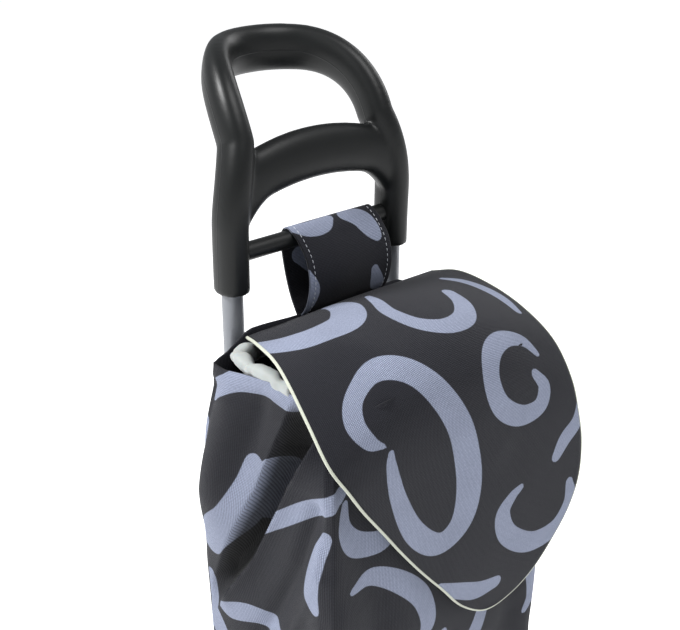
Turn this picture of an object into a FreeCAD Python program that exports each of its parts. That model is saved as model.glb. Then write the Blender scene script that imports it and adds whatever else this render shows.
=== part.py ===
import FreeCAD, Part
import math
import os
import Sketcher

# Shopping trolley on two wheels: a tube chassis with a moulded D grip, and a sewn bag.
# Millimetres. +Z is up, the bag is on the -Y side of the uprights, and X runs along the axle.
# The origin is on the floor, under the middle of the trolley.

SIZES = [
    ("tube_spacing", 215, "uprights, centre to centre"),
    ("tube_dia", 22, "outside of an upright"),
    ("tube_wall", 1.2, "wall of every steel tube"),
    ("tube_plane", 52, "uprights' plane, behind the origin"),
    ("upright_foot", 66, "lower end of the uprights"),
    ("grip_foot", 690, "lower end of the grip's legs"),
    ("grip_rise", 260, "length of the grip along its curve, without the crown"),
    ("grip_crown", 16, "extra rise in the middle of the grip's top"),
    ("grip_corner", 111, "height of the grip's rounded corners"),
    ("grip_top_width", 181, "width between the centrelines high up"),
    ("grip_leg_width", 33, "outside of a leg, in the grip's plane"),
    ("grip_leg_depth", 39, "outside of a leg, across the grip's plane"),
    ("grip_bar_width", 28, "outside of the grip's top, in its plane"),
    ("grip_bar_depth", 50, "outside of the grip's top, across its plane"),
    ("grip_lean", 86, "lean of the grip's top, degrees"),
    ("grip_straight", 0.33, "straight share of the grip's length"),
    ("grip_bend", 1.3, "how the lean sets in, where 1 is a steady bend"),
    ("grip_square", 0.86, "how square the grip's corners are, where 1 is an ellipse"),
    ("grip_taper", 0.5, "share of the legs' length where they start to draw together"),
    ("second_grip_rise", 106, "lower hand grip above the legs' ends"),
    ("second_grip_crown", 19, "arch of the lower hand grip"),
    ("second_grip_width", 52, "lower hand grip, in its plane"),
    ("second_grip_depth", 30, "lower hand grip, across its plane"),
    ("socket_depth", 50, "tube inside a leg of the grip"),
    ("rod_dia", 19, "cross rod between the grip's legs"),
    ("rod_rise", 38, "cross rod above the legs' ends"),
    ("crossbar_dia", 16, "steel bars between the uprights"),
    ("low_bar_height", 178, "lower crossbar above the floor"),
    ("mid_bar_height", 430, "upper crossbar above the floor"),
    ("bracket_dia", 31, "outside of a bracket's sleeve"),
    ("bracket_top", 136, "upper end of a bracket"),
    ("bracket_drop", 8, "bracket below the upright's end"),
    ("bracket_width", 24, "lug and axle boss, along the axle"),
    ("boss_dia", 26, "outside of the axle boss"),
    ("arm_length", 44, "bracket's socket for the deck, from the uprights' plane"),
    ("arm_wall", 3.5, "wall of that socket"),
    ("bracket_bolt_height", 118, "bolt through a bracket and its upright"),
    ("bolt_dia", 6, "bracket bolts"),
    ("bolt_head_dia", 10.5, "across a bolt's head"),
    ("bolt_head", 4, "height of a bolt's head"),
    ("bolt_nut_dia", 11, "across a bolt's nut"),
    ("bolt_nut", 5, "height of a bolt's nut"),
    ("wheel_dia", 160, "outside of a tyre"),
    ("wheel_width", 28, "across a tyre"),
    ("wheel_gap", 9, "bag's side to the inside of a wheel"),
    ("rim_dia", 124, "seat of the tyre on the rim"),
    ("rim_flange", 3, "rim's flanges above the seat"),
    ("rim_band", 10, "rim's band below the seat"),
    ("rim_web", 6, "rim's web between its hub and its band"),
    ("seat_inset", 6, "ends of the seat inside the tyre's sides"),
    ("window_margin", 4, "web beside a round window of the rim"),
    ("hub_dia", 34, "outside of a wheel's hub"),
    ("hub_side", 1, "hub beyond the tyre's side"),
    ("cap_rise", 10, "hub cap beyond the tyre's side"),
    ("cap_room_dia", 20, "room in a hub cap for the axle's end"),
    ("axle_dia", 10, "axle rod"),
    ("axle_fit", 0.08, "radial clearance of a bore on its pin"),
    ("axle_setback", 28, "axle behind the uprights"),
    ("axle_end", 5, "axle beyond the tyre's side"),
    ("spacer_dia", 16, "outside of an axle spacer"),
    ("washer_dia", 21, "outside of an axle washer"),
    ("washer", 1.5, "thickness of an axle washer"),
    ("push_nut_dia", 16, "outside of a push nut"),
    ("push_nut", 2, "thickness of a push nut"),
    ("deck_tube_dia", 16, "tube of the carrying deck"),
    ("deck_height", 88, "centre of the deck tube above the floor"),
    ("deck_corner", 42, "bend radius of the deck tube"),
    ("deck_overlap", 12, "bag beyond the front of the deck tube"),
    ("deck_end_gap", 6, "ends of the deck tube in front of the uprights"),
    ("wire_dia", 5, "wires across the deck"),
    ("wire_end", 4, "wires beyond the middle of the deck's arms"),
    ("prop_rod_dia", 10, "rod of the folding prop"),
    ("prop_corner", 24, "bend radius of the prop"),
    ("eye_dia", 16, "outside of the eye on a prop's leg"),
    ("eye_inside", 5, "eye inward of its leg's middle"),
    ("rivet_dia", 6, "rivets of the prop"),
    ("rivet_head_dia", 11, "across a rivet's head"),
    ("rivet_head", 2, "height of a rivet's head"),
    ("prop_setback", 52, "prop's pivot behind the front of the deck"),
    ("prop_lean", 24, "prop's slant to the front, degrees"),
    ("prop_inset", 16, "prop's legs inside the deck's arms"),
    ("foot_dia", 26, "rubber feet of the prop"),
    ("foot_axis", 11, "prop's rod above the feet's flat soles"),
    ("foot_length", 34, "one rubber foot along the prop"),
    ("foot_inset", 62, "middle of a foot inside the deck's arm"),
    ("bag_width", 300, "bag, across"),
    ("bag_depth", 190, "bag, front to back"),
    ("bag_gap", 8, "bag's back panel to the uprights"),
    ("bag_lift", 1, "underside of the bag above the deck's wires"),
    ("bag_top", 645, "rim of the bag's panels"),
    ("panel", 2.5, "thickness of a sewn panel with its lining"),
    ("board", 4, "base board in the bag"),
    ("board_gap", 3, "base board to the bag's panels"),
    ("collar_hem", 24, "collar's sewn edge below the rim"),
    ("collar_cloth", 2, "thickness of the gathered collar"),
    ("collar_corner", 16, "corner radius of the collar"),
    ("collar_rise", 14, "gathered nylon collar above the rim"),
    ("collar_turn", 6, "where the collar turns in, below the rim"),
    ("collar_inset", 32, "how far the collar closes in at its top"),
    ("collar_back", 30, "further in at the collar's back, under the flap's seam"),
    ("flap_cloth", 2, "thickness of the flap"),
    ("flap_width", 250, "flap at its hinge seam"),
    ("flap_belly", 306, "flap where it is widest"),
    ("flap_swell", 22, "further out over the bag's left front corner"),
    ("flap_offset", 24, "flap's middle to the right of the bag's"),
    ("flap_skew", 26, "flap's tip to the right of the flap's middle"),
    ("flap_tip", 338, "lowest point of the flap above the floor"),
    ("flap_dome", 38, "rise of the flap over the bag's mouth"),
    ("flap_ease", 16, "flap in front of the bag"),
    ("flap_hinge_gap", 6, "hinge seam in front of the bag's back panel"),
    ("flap_bend", 40, "below the rim, where the flap starts to hang straight"),
    ("piping", 5, "piping round the flap"),
    ("piping_proud", 1.5, "piping above and below the flap's cloth"),
    ("loop_width", 112, "hanging loop along the rod"),
    ("loop_offset", 20, "loop's middle to the right"),
    ("loop_belly", 30, "loop's front layer in front of the rod"),
    ("loop_cloth", 2, "loop's hemmed cloth"),
    ("loop_seam_gap", 1.5, "between the loop's two layers at their seam"),
    ("running_gap", 0.3, "clearance between pieces that move past each other"),
]

doc = FreeCAD.newDocument("shopping_trolley")
sheet = doc.addObject("Spreadsheet::Sheet", "sizes")
for row, (alias, number, meaning) in enumerate(SIZES, 1):
    sheet.set(f"A{row}", meaning)
    sheet.set(f"B{row}", str(number))
    sheet.setAlias(f"B{row}", alias)
doc.recompute()

V = FreeCAD.Vector
TO_X = FreeCAD.Rotation(V(0, 1, 0), 90)
TO_Y = FreeCAD.Rotation(V(1, 0, 0), -90)
UPRIGHT = FreeCAD.Rotation()
nodes = []


def size(formula):
    """The value of a formula in the sheet's sizes."""
    return float(sheet.evalExpression(formula))


def bind(item, **formulas):
    """Ties properties to formulas; two underscores stand for a dot."""
    for name, formula in formulas.items():
        item.setExpression(name.replace("__", "."), formula)


def place(item, x="0", y="0", z="0", turn=UPRIGHT):
    item.Placement = FreeCAD.Placement(V(0, 0, 0), turn)
    bind(item, Placement__Base__x=x, Placement__Base__y=y, Placement__Base__z=z)
    return item


def keep(item, label):
    """Makes an object one of the trolley's sub-parts, written under its label."""
    item.Label = label
    nodes.append(item)
    return item


def rod(name, diameter, length, x="0", y="0", z="0", turn=UPRIGHT):
    item = doc.addObject("Part::Cylinder", name)
    bind(item, Radius=f"({diameter}) / 2", Height=length)
    return place(item, x, y, z, turn)


def block(name, along_x, along_y, along_z, x, y, z):
    item = doc.addObject("Part::Box", name)
    bind(item, Length=along_x, Width=along_y, Height=along_z)
    return place(item, x, y, z)


def joined(name, *items):
    item = doc.addObject("Part::MultiFuse", name)
    item.Shapes = list(items)
    return item


def less(name, base, *tools):
    item = doc.addObject("Part::Cut", name)
    item.Base = base
    item.Tool = tools[0] if len(tools) == 1 else joined(name + "_tools", *tools)
    return item


def from_code(label, shape):
    item = doc.addObject("Part::Feature", label)
    item.Shape = shape
    item.Placement = FreeCAD.Placement()
    return keep(item, label)


def turned(label, outline, x, y, z, base_turn=UPRIGHT):
    """A body turned about its own X axis; each outline point is (along, radius) as formulas."""
    body = doc.addObject("PartDesign::Body", label)
    sketch = body.newObject("Sketcher::SketchObject", label + "_outline")
    plane = next(o for o in body.Origin.OriginFeatures if o.Role == "XY_Plane")
    sketch.AttachmentSupport = [(plane, "")]
    sketch.MapMode = "FlatFace"
    points = [(size(along), size(radius)) for along, radius in outline]
    count = len(points)
    for i in range(count):
        start, end = points[i], points[(i + 1) % count]
        sketch.addGeometry(Part.LineSegment(V(*start, 0), V(*end, 0)), False)
    for i in range(count):
        sketch.addConstraint(Sketcher.Constraint("Coincident", i, 2, (i + 1) % count, 1))
    for i, (along, radius) in enumerate(outline):
        for kind, formula, value in (
            ("DistanceX", along, points[i][0]),
            ("DistanceY", radius, points[i][1]),
        ):
            at = sketch.addConstraint(Sketcher.Constraint(kind, -1, 1, i, 1, value))
            sketch.setExpression(f"Constraints[{at}]", formula)
    turn = body.newObject("PartDesign::Revolution", label + "_turn")
    turn.Profile = sketch
    turn.ReferenceAxis = (sketch, ["H_Axis"])
    turn.Angle = 360
    place(body, x, y, z, base_turn)
    return body


SIDES = (("left", -1), ("right", 1))
HALF = "sizes.tube_spacing / 2"
PLANE = "sizes.tube_plane"
BAG_BACK = "sizes.tube_plane - sizes.tube_dia / 2 - sizes.bag_gap"
BAG_FRONT = f"{BAG_BACK} - sizes.bag_depth"
AXLE_Y = "sizes.tube_plane + sizes.axle_setback"
AXLE_Z = "sizes.wheel_dia / 2"
DECK_FRONT = f"{BAG_FRONT} + sizes.deck_overlap + sizes.deck_tube_dia / 2"
DECK_BACK = "sizes.tube_plane - sizes.tube_dia / 2 - sizes.deck_end_gap"
PIVOT_Y = f"{DECK_FRONT} + sizes.prop_setback"
WHEEL_X = "sizes.bag_width / 2 + sizes.wheel_gap + sizes.wheel_width / 2"
ROD_Z = "sizes.grip_foot + sizes.rod_rise"
ROD_REACH = "(sizes.tube_spacing / 2 - sizes.tube_dia / 2 - 0.5)"


# ---------------------------------------------------------------- grip

def grip_lean(v):
    """Lean of the grip's surface, in radians, at v along its curve: more and more to the back."""
    straight = size("grip_straight")
    share = min(max((v / size("grip_rise") - straight) / (1 - straight), 0), 1)
    return math.radians(size("grip_lean")) * share ** size("grip_bend")


def grip_curve():
    """Points (v, y, z) along the grip's leaning side view, from below its legs to above its top."""
    step = 1.0
    margin = 40
    v = -margin
    y, z = size("tube_plane"), size("grip_foot") - margin
    line = []
    while v < size("grip_rise + grip_crown") + margin:
        line.append((v, y, z))
        lean = grip_lean(v + step / 2)
        y += step * math.sin(lean)
        z += step * math.cos(lean)
        v += step
    return line


LEANING = grip_curve()


def on_grip(u, v):
    """The point at (u, v) of the grip's unrolled plane."""
    lowest = LEANING[0][0]
    at = min(max(v - lowest, 0), len(LEANING) - 1.001)
    i = int(at)
    share = at - i
    (_, y0, z0), (_, y1, z1) = LEANING[i], LEANING[i + 1]
    return V(u, y0 + (y1 - y0) * share, z0 + (z1 - z0) * share)


def grip_arch():
    """The arch's centreline from the left leg's end to the right one's, in the unrolled plane."""
    half, top = size("tube_spacing") / 2, size("grip_top_width") / 2
    rise, corner = size("grip_rise"), size("grip_corner")
    square, steps = size("grip_square"), 6
    side = []
    for i in range(steps + 1):
        share = i / steps
        inward = max(0, share - size("grip_taper")) / (1 - size("grip_taper"))
        ease = 3 * inward**2 - 2 * inward**3
        side.append((half + (top - half) * ease, (rise - corner) * share))
    for i in range(1, steps + 1):
        turn = math.pi / 2 * i / steps
        u = top * abs(math.cos(turn)) ** square
        v = rise - corner + corner * math.sin(turn) ** square
        side.append((u, v + size("grip_crown") * (1 - (u / top) ** 2)))
    return [(-u, v) for u, v in side[:-1]] + side[::-1]


def along(line, widths, depths):
    """A solid of oval sections along a line in the grip's unrolled plane."""
    around = 12
    wires = []
    for i, (u, v) in enumerate(line):
        before, after = line[max(i - 1, 0)], line[min(i + 1, len(line) - 1)]
        du, dv = after[0] - before[0], after[1] - before[1]
        length = math.hypot(du, dv)
        lean = grip_lean(v)
        uphill = V(0, math.sin(lean), math.cos(lean))
        side = V(dv / length, 0, 0) - uphill * (du / length)
        front = V(0, -math.cos(lean), math.sin(lean))
        points = []
        for k in range(around):
            turn = 2 * math.pi * (k / around + 0.75)
            across = side * (math.cos(turn) * widths[i] / 2)
            points.append(on_grip(u, v) + across + front * (math.sin(turn) * depths[i] / 2))
        section = Part.BSplineCurve()
        section.interpolate(points, PeriodicFlag=True)
        wires.append(Part.Wire(section.toShape()))
    return Part.makeLoft(wires, True, False)


def grip_shape():
    line = grip_arch()
    last = len(line) - 1
    widths, depths = [], []
    for i in range(len(line)):
        share = 1 - abs(2 * i / last - 1)
        ease = 3 * share**2 - 2 * share**3
        widths.append(size("grip_leg_width") * (1 - ease) + size("grip_bar_width") * ease)
        depths.append(size("grip_leg_depth") * (1 - ease) + size("grip_bar_depth") * ease)
    arch = along(line, widths, depths)
    half = size("tube_spacing") / 2
    second = []
    for step in range(-4, 5):
        share = step / 4
        u = share * (half - size("grip_leg_width") / 2)
        v = size("second_grip_rise") + size("second_grip_crown") * (1 - share**2)
        second.append((u, v))
    count = len(second)
    bar = along(second, [size("second_grip_width")] * count, [size("second_grip_depth")] * count)
    shape = arch.fuse(bar)
    for _, sign in SIDES:
        foot = V(sign * half, size("tube_plane"), size("grip_foot") - 1)
        shape = shape.cut(Part.makeCylinder(size("tube_dia") / 2, size("socket_depth") + 1, foot))
    reach = size(ROD_REACH)
    end = V(-reach, size("tube_plane"), size(ROD_Z))
    return shape.cut(Part.makeCylinder(size("rod_dia / 2"), 2 * reach, end, V(1, 0, 0)))


from_code("grip", grip_shape())
keep(
    rod("cross_rod", "sizes.rod_dia", f"2 * {ROD_REACH}", f"-{ROD_REACH}", PLANE, ROD_Z, TO_X),
    "cross_rod",
)


# ---------------------------------------------------------------- uprights and crossbars

uprights = {}
for side, sign in SIDES:
    x = f"{sign} * {HALF}"
    reach = "sizes.grip_foot + sizes.socket_depth - sizes.upright_foot"
    outer = rod(f"outer_{side}", "sizes.tube_dia", reach, x, PLANE, "sizes.upright_foot")
    bore = rod(
        f"bore_{side}", "sizes.tube_dia - 2 * sizes.tube_wall", reach, x, PLANE, "sizes.upright_foot",
    )
    hole = rod(
        f"hole_{side}", "sizes.bolt_dia", "sizes.tube_dia + 2",
        f"{x} - sizes.tube_dia / 2 - 1", PLANE, "sizes.bracket_bolt_height", TO_X,
    )
    uprights[side] = keep(less(f"upright_{side}", outer, bore, hole), f"upright_{side}")

for level in ("low", "mid"):
    height = f"sizes.{level}_bar_height"
    start = f"-({HALF})"
    solid = rod(f"{level}_bar", "sizes.crossbar_dia", "sizes.tube_spacing", start, PLANE, height, TO_X)
    inside = rod(
        f"{level}_inside", "sizes.crossbar_dia - 2 * sizes.tube_wall", "sizes.tube_spacing",
        start, PLANE, height, TO_X,
    )
    copes = [
        rod(
            f"{level}_cope_{side}", "sizes.tube_dia", "4 * sizes.crossbar_dia",
            f"{sign} * {HALF}", PLANE, f"{height} - 2 * sizes.crossbar_dia",
        )
        for side, sign in SIDES
    ]
    keep(less(f"crossbar_{level}", solid, inside, *copes), f"crossbar_{level}")


# ---------------------------------------------------------------- brackets, axle and bolts

for side, sign in SIDES:
    x = f"{sign} * {HALF}"
    floor = "(sizes.upright_foot - sizes.bracket_drop)"
    wide = "sizes.bracket_width"
    sleeve = rod(
        f"sleeve_{side}", "sizes.bracket_dia", f"sizes.bracket_top - {floor}", x, PLANE, floor,
    )
    lug = block(
        f"lug_{side}", wide, "sizes.axle_setback", "sizes.boss_dia",
        f"{x} - {wide} / 2", PLANE, f"{AXLE_Z} - sizes.boss_dia / 2",
    )
    boss = rod(f"boss_{side}", "sizes.boss_dia", wide, f"{x} - {wide} / 2", AXLE_Y, AXLE_Z, TO_X)
    arm = rod(
        f"arm_{side}", "sizes.deck_tube_dia + 2 * sizes.arm_wall", "sizes.arm_length",
        x, f"{PLANE} - sizes.arm_length", "sizes.deck_height", TO_Y,
    )
    tube = rod(f"tube_room_{side}", "sizes.tube_dia", "sizes.bracket_top", x, PLANE, "sizes.upright_foot")
    axle_room = rod(
        f"axle_room_{side}", "sizes.axle_dia", f"2 * {wide}", f"{x} - {wide}", AXLE_Y, AXLE_Z, TO_X,
    )
    deck_room = rod(
        f"deck_room_{side}", "sizes.deck_tube_dia", "sizes.arm_length",
        x, f"{DECK_BACK} - sizes.arm_length", "sizes.deck_height", TO_Y,
    )
    bolt_room = rod(
        f"bolt_room_{side}", "sizes.bolt_dia", "2 * sizes.bracket_dia",
        f"{x} - sizes.bracket_dia", PLANE, "sizes.bracket_bolt_height", TO_X,
    )
    moulding = joined(f"moulding_{side}", sleeve, lug, boss, arm)
    bracket = less(f"bracket_{side}", moulding, tube, axle_room, deck_room, bolt_room)
    keep(bracket, f"bracket_{side}")

bolt_parts = []
for side, sign in SIDES:
    x = f"{sign} * {HALF}"
    reach = "sizes.bracket_dia / 2"
    spot = (PLANE, "sizes.bracket_bolt_height", TO_X)
    shank = rod(f"shank_{side}", "sizes.bolt_dia", f"2 * ({reach})", f"{x} - {reach}", *spot)
    thick = "sizes.bolt_head"
    low = f"{x} + {sign} * ({reach} + {thick} / 2) - {thick} / 2"
    head = rod(f"head_{side}", "sizes.bolt_head_dia", thick, low, *spot)
    thick = "sizes.bolt_nut"
    low = f"{x} - {sign} * ({reach} + {thick} / 2) - {thick} / 2"
    nut = rod(f"nut_{side}", "sizes.bolt_nut_dia", thick, low, *spot)
    bolt_parts += [shank, head, nut]
keep(joined("bracket_bolts", *bolt_parts), "bracket_bolts")

AXLE_END = f"{WHEEL_X} + sizes.wheel_width / 2 + sizes.axle_end"
keep(
    rod("axle", "sizes.axle_dia", f"2 * ({AXLE_END})", f"-({AXLE_END})", AXLE_Y, AXLE_Z, TO_X),
    "axle",
)


def ring(name, outer, inner, length, x, y, z):
    """A round sleeve along X."""
    shell = rod(name + "_shell", outer, length, x, y, z, TO_X)
    room = rod(name + "_room", inner, length, x, y, z, TO_X)
    return less(name, shell, room)


spacers, washers, nuts = [], [], []
for side, sign in SIDES:
    hub_in = f"({WHEEL_X} - sizes.wheel_width / 2 - sizes.hub_side)"
    hub_out = f"({WHEEL_X} + sizes.wheel_width / 2 + sizes.hub_side)"
    boss_face = "(sizes.tube_spacing / 2 + sizes.bracket_width / 2)"
    thick, gap, bore = "sizes.washer", "sizes.running_gap", "sizes.axle_dia"
    length = f"({hub_in} - {gap} - {thick} - {boss_face})"
    low = boss_face if sign > 0 else f"-({boss_face} + {length})"
    spacers.append(ring(f"spacer_{side}", "sizes.spacer_dia", bore, length, low, AXLE_Y, AXLE_Z))
    low = f"({hub_in} - {gap} - {thick})" if sign > 0 else f"-({hub_in} - {gap})"
    washers.append(ring(f"washer_{side}", "sizes.washer_dia", bore, thick, low, AXLE_Y, AXLE_Z))
    thick = "sizes.push_nut"
    low = f"({hub_out} + {gap})" if sign > 0 else f"-({hub_out} + {gap} + {thick})"
    nuts.append(ring(f"push_nut_{side}", "sizes.push_nut_dia", bore, thick, low, AXLE_Y, AXLE_Z))
keep(joined("axle_spacers", *spacers), "axle_spacers")
keep(joined("axle_washers", *washers), "axle_washers")
keep(joined("push_nuts", *nuts), "push_nuts")


# ---------------------------------------------------------------- wheels

SIDE = "sizes.wheel_width / 2"
INSET = f"({SIDE} - sizes.seat_inset)"
HUB_END = f"({SIDE} + sizes.hub_side)"
CAP_END = f"({SIDE} + sizes.cap_rise)"
BORE = "(sizes.axle_dia / 2 + sizes.axle_fit)"
HUB = "(sizes.hub_dia / 2)"
HUB_FOOT = "(sizes.hub_dia / 2 + 2)"
WEB = "(sizes.rim_web / 2)"
SEAT = "(sizes.rim_dia / 2)"
FLANGE = f"({SEAT} + sizes.rim_flange)"
BAND = f"({SEAT} - sizes.rim_band)"
TYRE = "(sizes.wheel_dia / 2)"
RUBBER = f"({TYRE} - {FLANGE})"
CAP_ROOM = "sizes.cap_room_dia / 2"


def both_sides(half_outline):
    """An outline's points on the outer side, then the same points mirrored on the inner side."""
    return half_outline + [(f"-({across})", radius) for across, radius in reversed(half_outline)]


RIM_OUTLINE = both_sides([
    (HUB_END, BORE), (HUB_END, HUB), (WEB, HUB_FOOT), (WEB, BAND), (f"{SIDE} - 4", f"{SEAT} - 6"),
    (f"{SIDE} - 2", FLANGE), (f"{INSET} + 1", FLANGE), (INSET, SEAT),
])
TYRE_OUTLINE = both_sides([
    (INSET, SEAT), (f"{INSET} + 1", FLANGE), (f"{SIDE} - 1", FLANGE),
    (SIDE, f"{FLANGE} + {RUBBER} * 4 / 15"), (f"{SIDE} - 1", f"{TYRE} - {RUBBER} / 3"),
    (f"{SIDE} - 5", f"{TYRE} - {RUBBER} / 15"), ("5", TYRE),
])
CAP_OUTLINE = [
    (HUB_END, CAP_ROOM), (HUB_END, f"{HUB} + 1"), (f"{SIDE} + 4", f"{HUB} + 1"),
    (f"{CAP_END} - 2", f"{HUB} - 3"), (CAP_END, "5"), (CAP_END, "0.5"),
    (f"{CAP_END} - 3", "0.5"), (f"{CAP_END} - 3", f"{CAP_ROOM} - 2"), (f"{CAP_END} - 4", CAP_ROOM),
]
OUTWARD = {-1: FreeCAD.Rotation(V(0, 0, 1), 180), 1: UPRIGHT}
WINDOWS = 6

for side, sign in SIDES:
    spot = (f"{sign} * ({WHEEL_X})", AXLE_Y, AXLE_Z, OUTWARD[sign])
    disc = turned(f"rim_disc_{side}", RIM_OUTLINE, *spot)
    middle = f"({HUB_FOOT} + {BAND}) / 2"
    windows = []
    for k in range(WINDOWS):
        turn = 360 / WINDOWS * k
        windows.append(
            rod(
                f"window_{side}_{k}", f"{BAND} - {HUB_FOOT} - 2 * sizes.window_margin",
                "2 * sizes.rim_web", f"{sign} * ({WHEEL_X}) - sizes.rim_web",
                f"{AXLE_Y} + {middle} * cos({turn} deg)",
                f"{AXLE_Z} + {middle} * sin({turn} deg)", TO_X,
            )
        )
    keep(less(f"rim_{side}", disc, *windows), f"rim_{side}")
    keep(turned(f"tyre_{side}", TYRE_OUTLINE, *spot), f"tyre_{side}")
    keep(turned(f"hub_cap_{side}", CAP_OUTLINE, *spot), f"hub_cap_{side}")


# ---------------------------------------------------------------- deck and folding prop

def bent_rod(points, radii, outer, inner=0):
    """A round rod or tube along straight runs joined by tangent arcs."""
    edges = []
    start = points[0]
    for before, corner, after, radius in zip(points, points[1:], points[2:], radii):
        into, away = (corner - before).normalize(), (after - corner).normalize()
        turn = into.getAngle(away)
        cut = radius * math.tan(turn / 2)
        first, last = corner - into * cut, corner + away * cut
        inward = (away - into).normalize()
        middle = corner + inward * (radius / math.cos(turn / 2) - radius)
        edges.append(Part.LineSegment(start, first).toShape())
        edges.append(Part.Arc(first, middle, last).toShape())
        start = last
    edges.append(Part.LineSegment(start, points[-1]).toShape())
    path = Part.Wire(edges)
    heading = (points[1] - points[0]).normalize()
    solids = []
    for diameter in (outer, inner):
        if diameter:
            circle = Part.Wire(Part.makeCircle(diameter / 2, points[0], heading))
            solids.append(path.makePipeShell([circle], True, False))
    return solids[0].cut(solids[1]) if inner else solids[0]


def deck_shape():
    half, high = size("tube_spacing") / 2, size("deck_height")
    front, back = size(DECK_FRONT), size(DECK_BACK)
    points = [V(-half, back, high), V(-half, front, high), V(half, front, high), V(half, back, high)]
    outer = size("deck_tube_dia")
    tube = bent_rod(points, [size("deck_corner")] * 2, outer, outer - 2 * size("tube_wall"))
    for _, sign in SIDES:
        start = V(sign * half - outer, size(PIVOT_Y), high)
        tube = tube.cut(Part.makeCylinder(size("rivet_dia") / 2, 2 * outer, start, V(1, 0, 0)))
    return tube


from_code("deck_tube", deck_shape())

WIRE_SHARES = (0.27, 0.5, 0.73)
wires = []
for k, share in enumerate(WIRE_SHARES):
    wires.append(
        rod(
            f"wire_{k}", "sizes.wire_dia", "sizes.tube_spacing + 2 * sizes.wire_end",
            "-(sizes.tube_spacing / 2 + sizes.wire_end)",
            f"{DECK_FRONT} + ({BAG_BACK} - ({DECK_FRONT})) * {share}",
            "sizes.deck_height + sizes.deck_tube_dia / 2 + sizes.wire_dia / 2", TO_X,
        )
    )
keep(joined("deck_wires", *wires), "deck_wires")

PROP_X = "(sizes.tube_spacing / 2 - sizes.prop_inset)"
PROP_DROP = "(sizes.deck_height - sizes.foot_axis)"
PROP_FOOT_Y = f"{PIVOT_Y} - {PROP_DROP} * tan(sizes.prop_lean * 1 deg)"
EYE_IN = f"({PROP_X} - sizes.eye_inside)"
EYE_OUT = "(sizes.tube_spacing / 2 - sizes.deck_tube_dia / 2 - sizes.running_gap)"


def prop_shape():
    across, high = size(PROP_X), size("deck_height")
    pivot, low = size(PIVOT_Y), size("foot_axis")
    foot = size(PROP_FOOT_Y)
    points = [
        V(-across, pivot, high), V(-across, foot, low), V(across, foot, low), V(across, pivot, high),
    ]
    shape = bent_rod(points, [size("prop_corner")] * 2, size("prop_rod_dia"))
    eye_in, eye_out = size(EYE_IN), size(EYE_OUT)
    radius = size("eye_dia") / 2
    for _, sign in SIDES:
        start = V(sign * eye_in, pivot, high)
        shape = shape.fuse(Part.makeCylinder(radius, eye_out - eye_in, start, V(sign, 0, 0)))
    reach = 2 * size("eye_dia")
    for _, sign in SIDES:
        start = V(sign * across - reach / 2, pivot, high)
        shape = shape.cut(Part.makeCylinder(size("rivet_dia / 2 + axle_fit"), reach, start, V(1, 0, 0)))
    return shape


from_code("prop", prop_shape())

rivets = []
for side, sign in SIDES:
    head, head_dia = "sizes.rivet_head", "sizes.rivet_head_dia"
    inner = f"({EYE_IN} - sizes.running_gap - {head})"
    outer = f"(sizes.tube_spacing / 2 + sizes.deck_tube_dia / 2 + {head})"
    spot = (PIVOT_Y, "sizes.deck_height", TO_X)
    low = inner if sign > 0 else f"-{outer}"
    rivets.append(rod(f"rivet_{side}", "sizes.rivet_dia", f"{outer} - {inner}", low, *spot))
    low = inner if sign > 0 else f"-({inner} + {head})"
    rivets.append(rod(f"rivet_inner_{side}", head_dia, head, low, *spot))
    low = f"{outer} - {head}" if sign > 0 else f"-{outer}"
    rivets.append(rod(f"rivet_outer_{side}", head_dia, head, low, *spot))
keep(joined("prop_rivets", *rivets), "prop_rivets")

feet = []
for side, sign in SIDES:
    low = f"{sign} * (sizes.tube_spacing / 2 - sizes.foot_inset) - sizes.foot_length / 2"
    sleeve = ring(
        f"foot_sleeve_{side}", "sizes.foot_dia", "sizes.prop_rod_dia", "sizes.foot_length",
        low, PROP_FOOT_Y, "sizes.foot_axis",
    )
    under = block(
        f"under_foot_{side}", "sizes.foot_length", "sizes.foot_dia", "sizes.foot_dia",
        low, f"{PROP_FOOT_Y} - sizes.foot_dia / 2", "-sizes.foot_dia",
    )
    feet.append(less(f"foot_{side}", sleeve, under))
keep(joined("rubber_feet", *feet), "rubber_feet")


# ---------------------------------------------------------------- bag

BAG_FLOOR = "(sizes.deck_height + sizes.deck_tube_dia / 2 + sizes.wire_dia + sizes.bag_lift)"
BAG_HIGH = f"sizes.bag_top - {BAG_FLOOR}"
LEFT = "-(sizes.bag_width / 2)"
INNER_WIDTH = "sizes.bag_width - 2 * sizes.panel"
INNER_DEPTH = "sizes.bag_depth - 2 * sizes.panel"
keep(
    block("bag_front", "sizes.bag_width", "sizes.panel", BAG_HIGH, LEFT, BAG_FRONT, BAG_FLOOR),
    "bag_front",
)
keep(
    block(
        "bag_back", "sizes.bag_width", "sizes.panel", BAG_HIGH, LEFT,
        f"{BAG_BACK} - sizes.panel", BAG_FLOOR,
    ),
    "bag_back",
)
for side, sign in SIDES:
    low = LEFT if sign < 0 else "sizes.bag_width / 2 - sizes.panel"
    keep(
        block(
            f"bag_gusset_{side}", "sizes.panel", INNER_DEPTH, BAG_HIGH,
            low, f"{BAG_FRONT} + sizes.panel", BAG_FLOOR,
        ),
        f"bag_gusset_{side}",
    )
keep(
    block(
        "bag_bottom", INNER_WIDTH, INNER_DEPTH, "sizes.panel",
        f"{LEFT} + sizes.panel", f"{BAG_FRONT} + sizes.panel", BAG_FLOOR,
    ),
    "bag_bottom",
)
keep(
    block(
        "base_board", f"{INNER_WIDTH} - 2 * sizes.board_gap", f"{INNER_DEPTH} - 2 * sizes.board_gap",
        "sizes.board", f"{LEFT} + sizes.panel + sizes.board_gap",
        f"{BAG_FRONT} + sizes.panel + sizes.board_gap", f"{BAG_FLOOR} + sizes.panel",
    ),
    "base_board",
)


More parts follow.
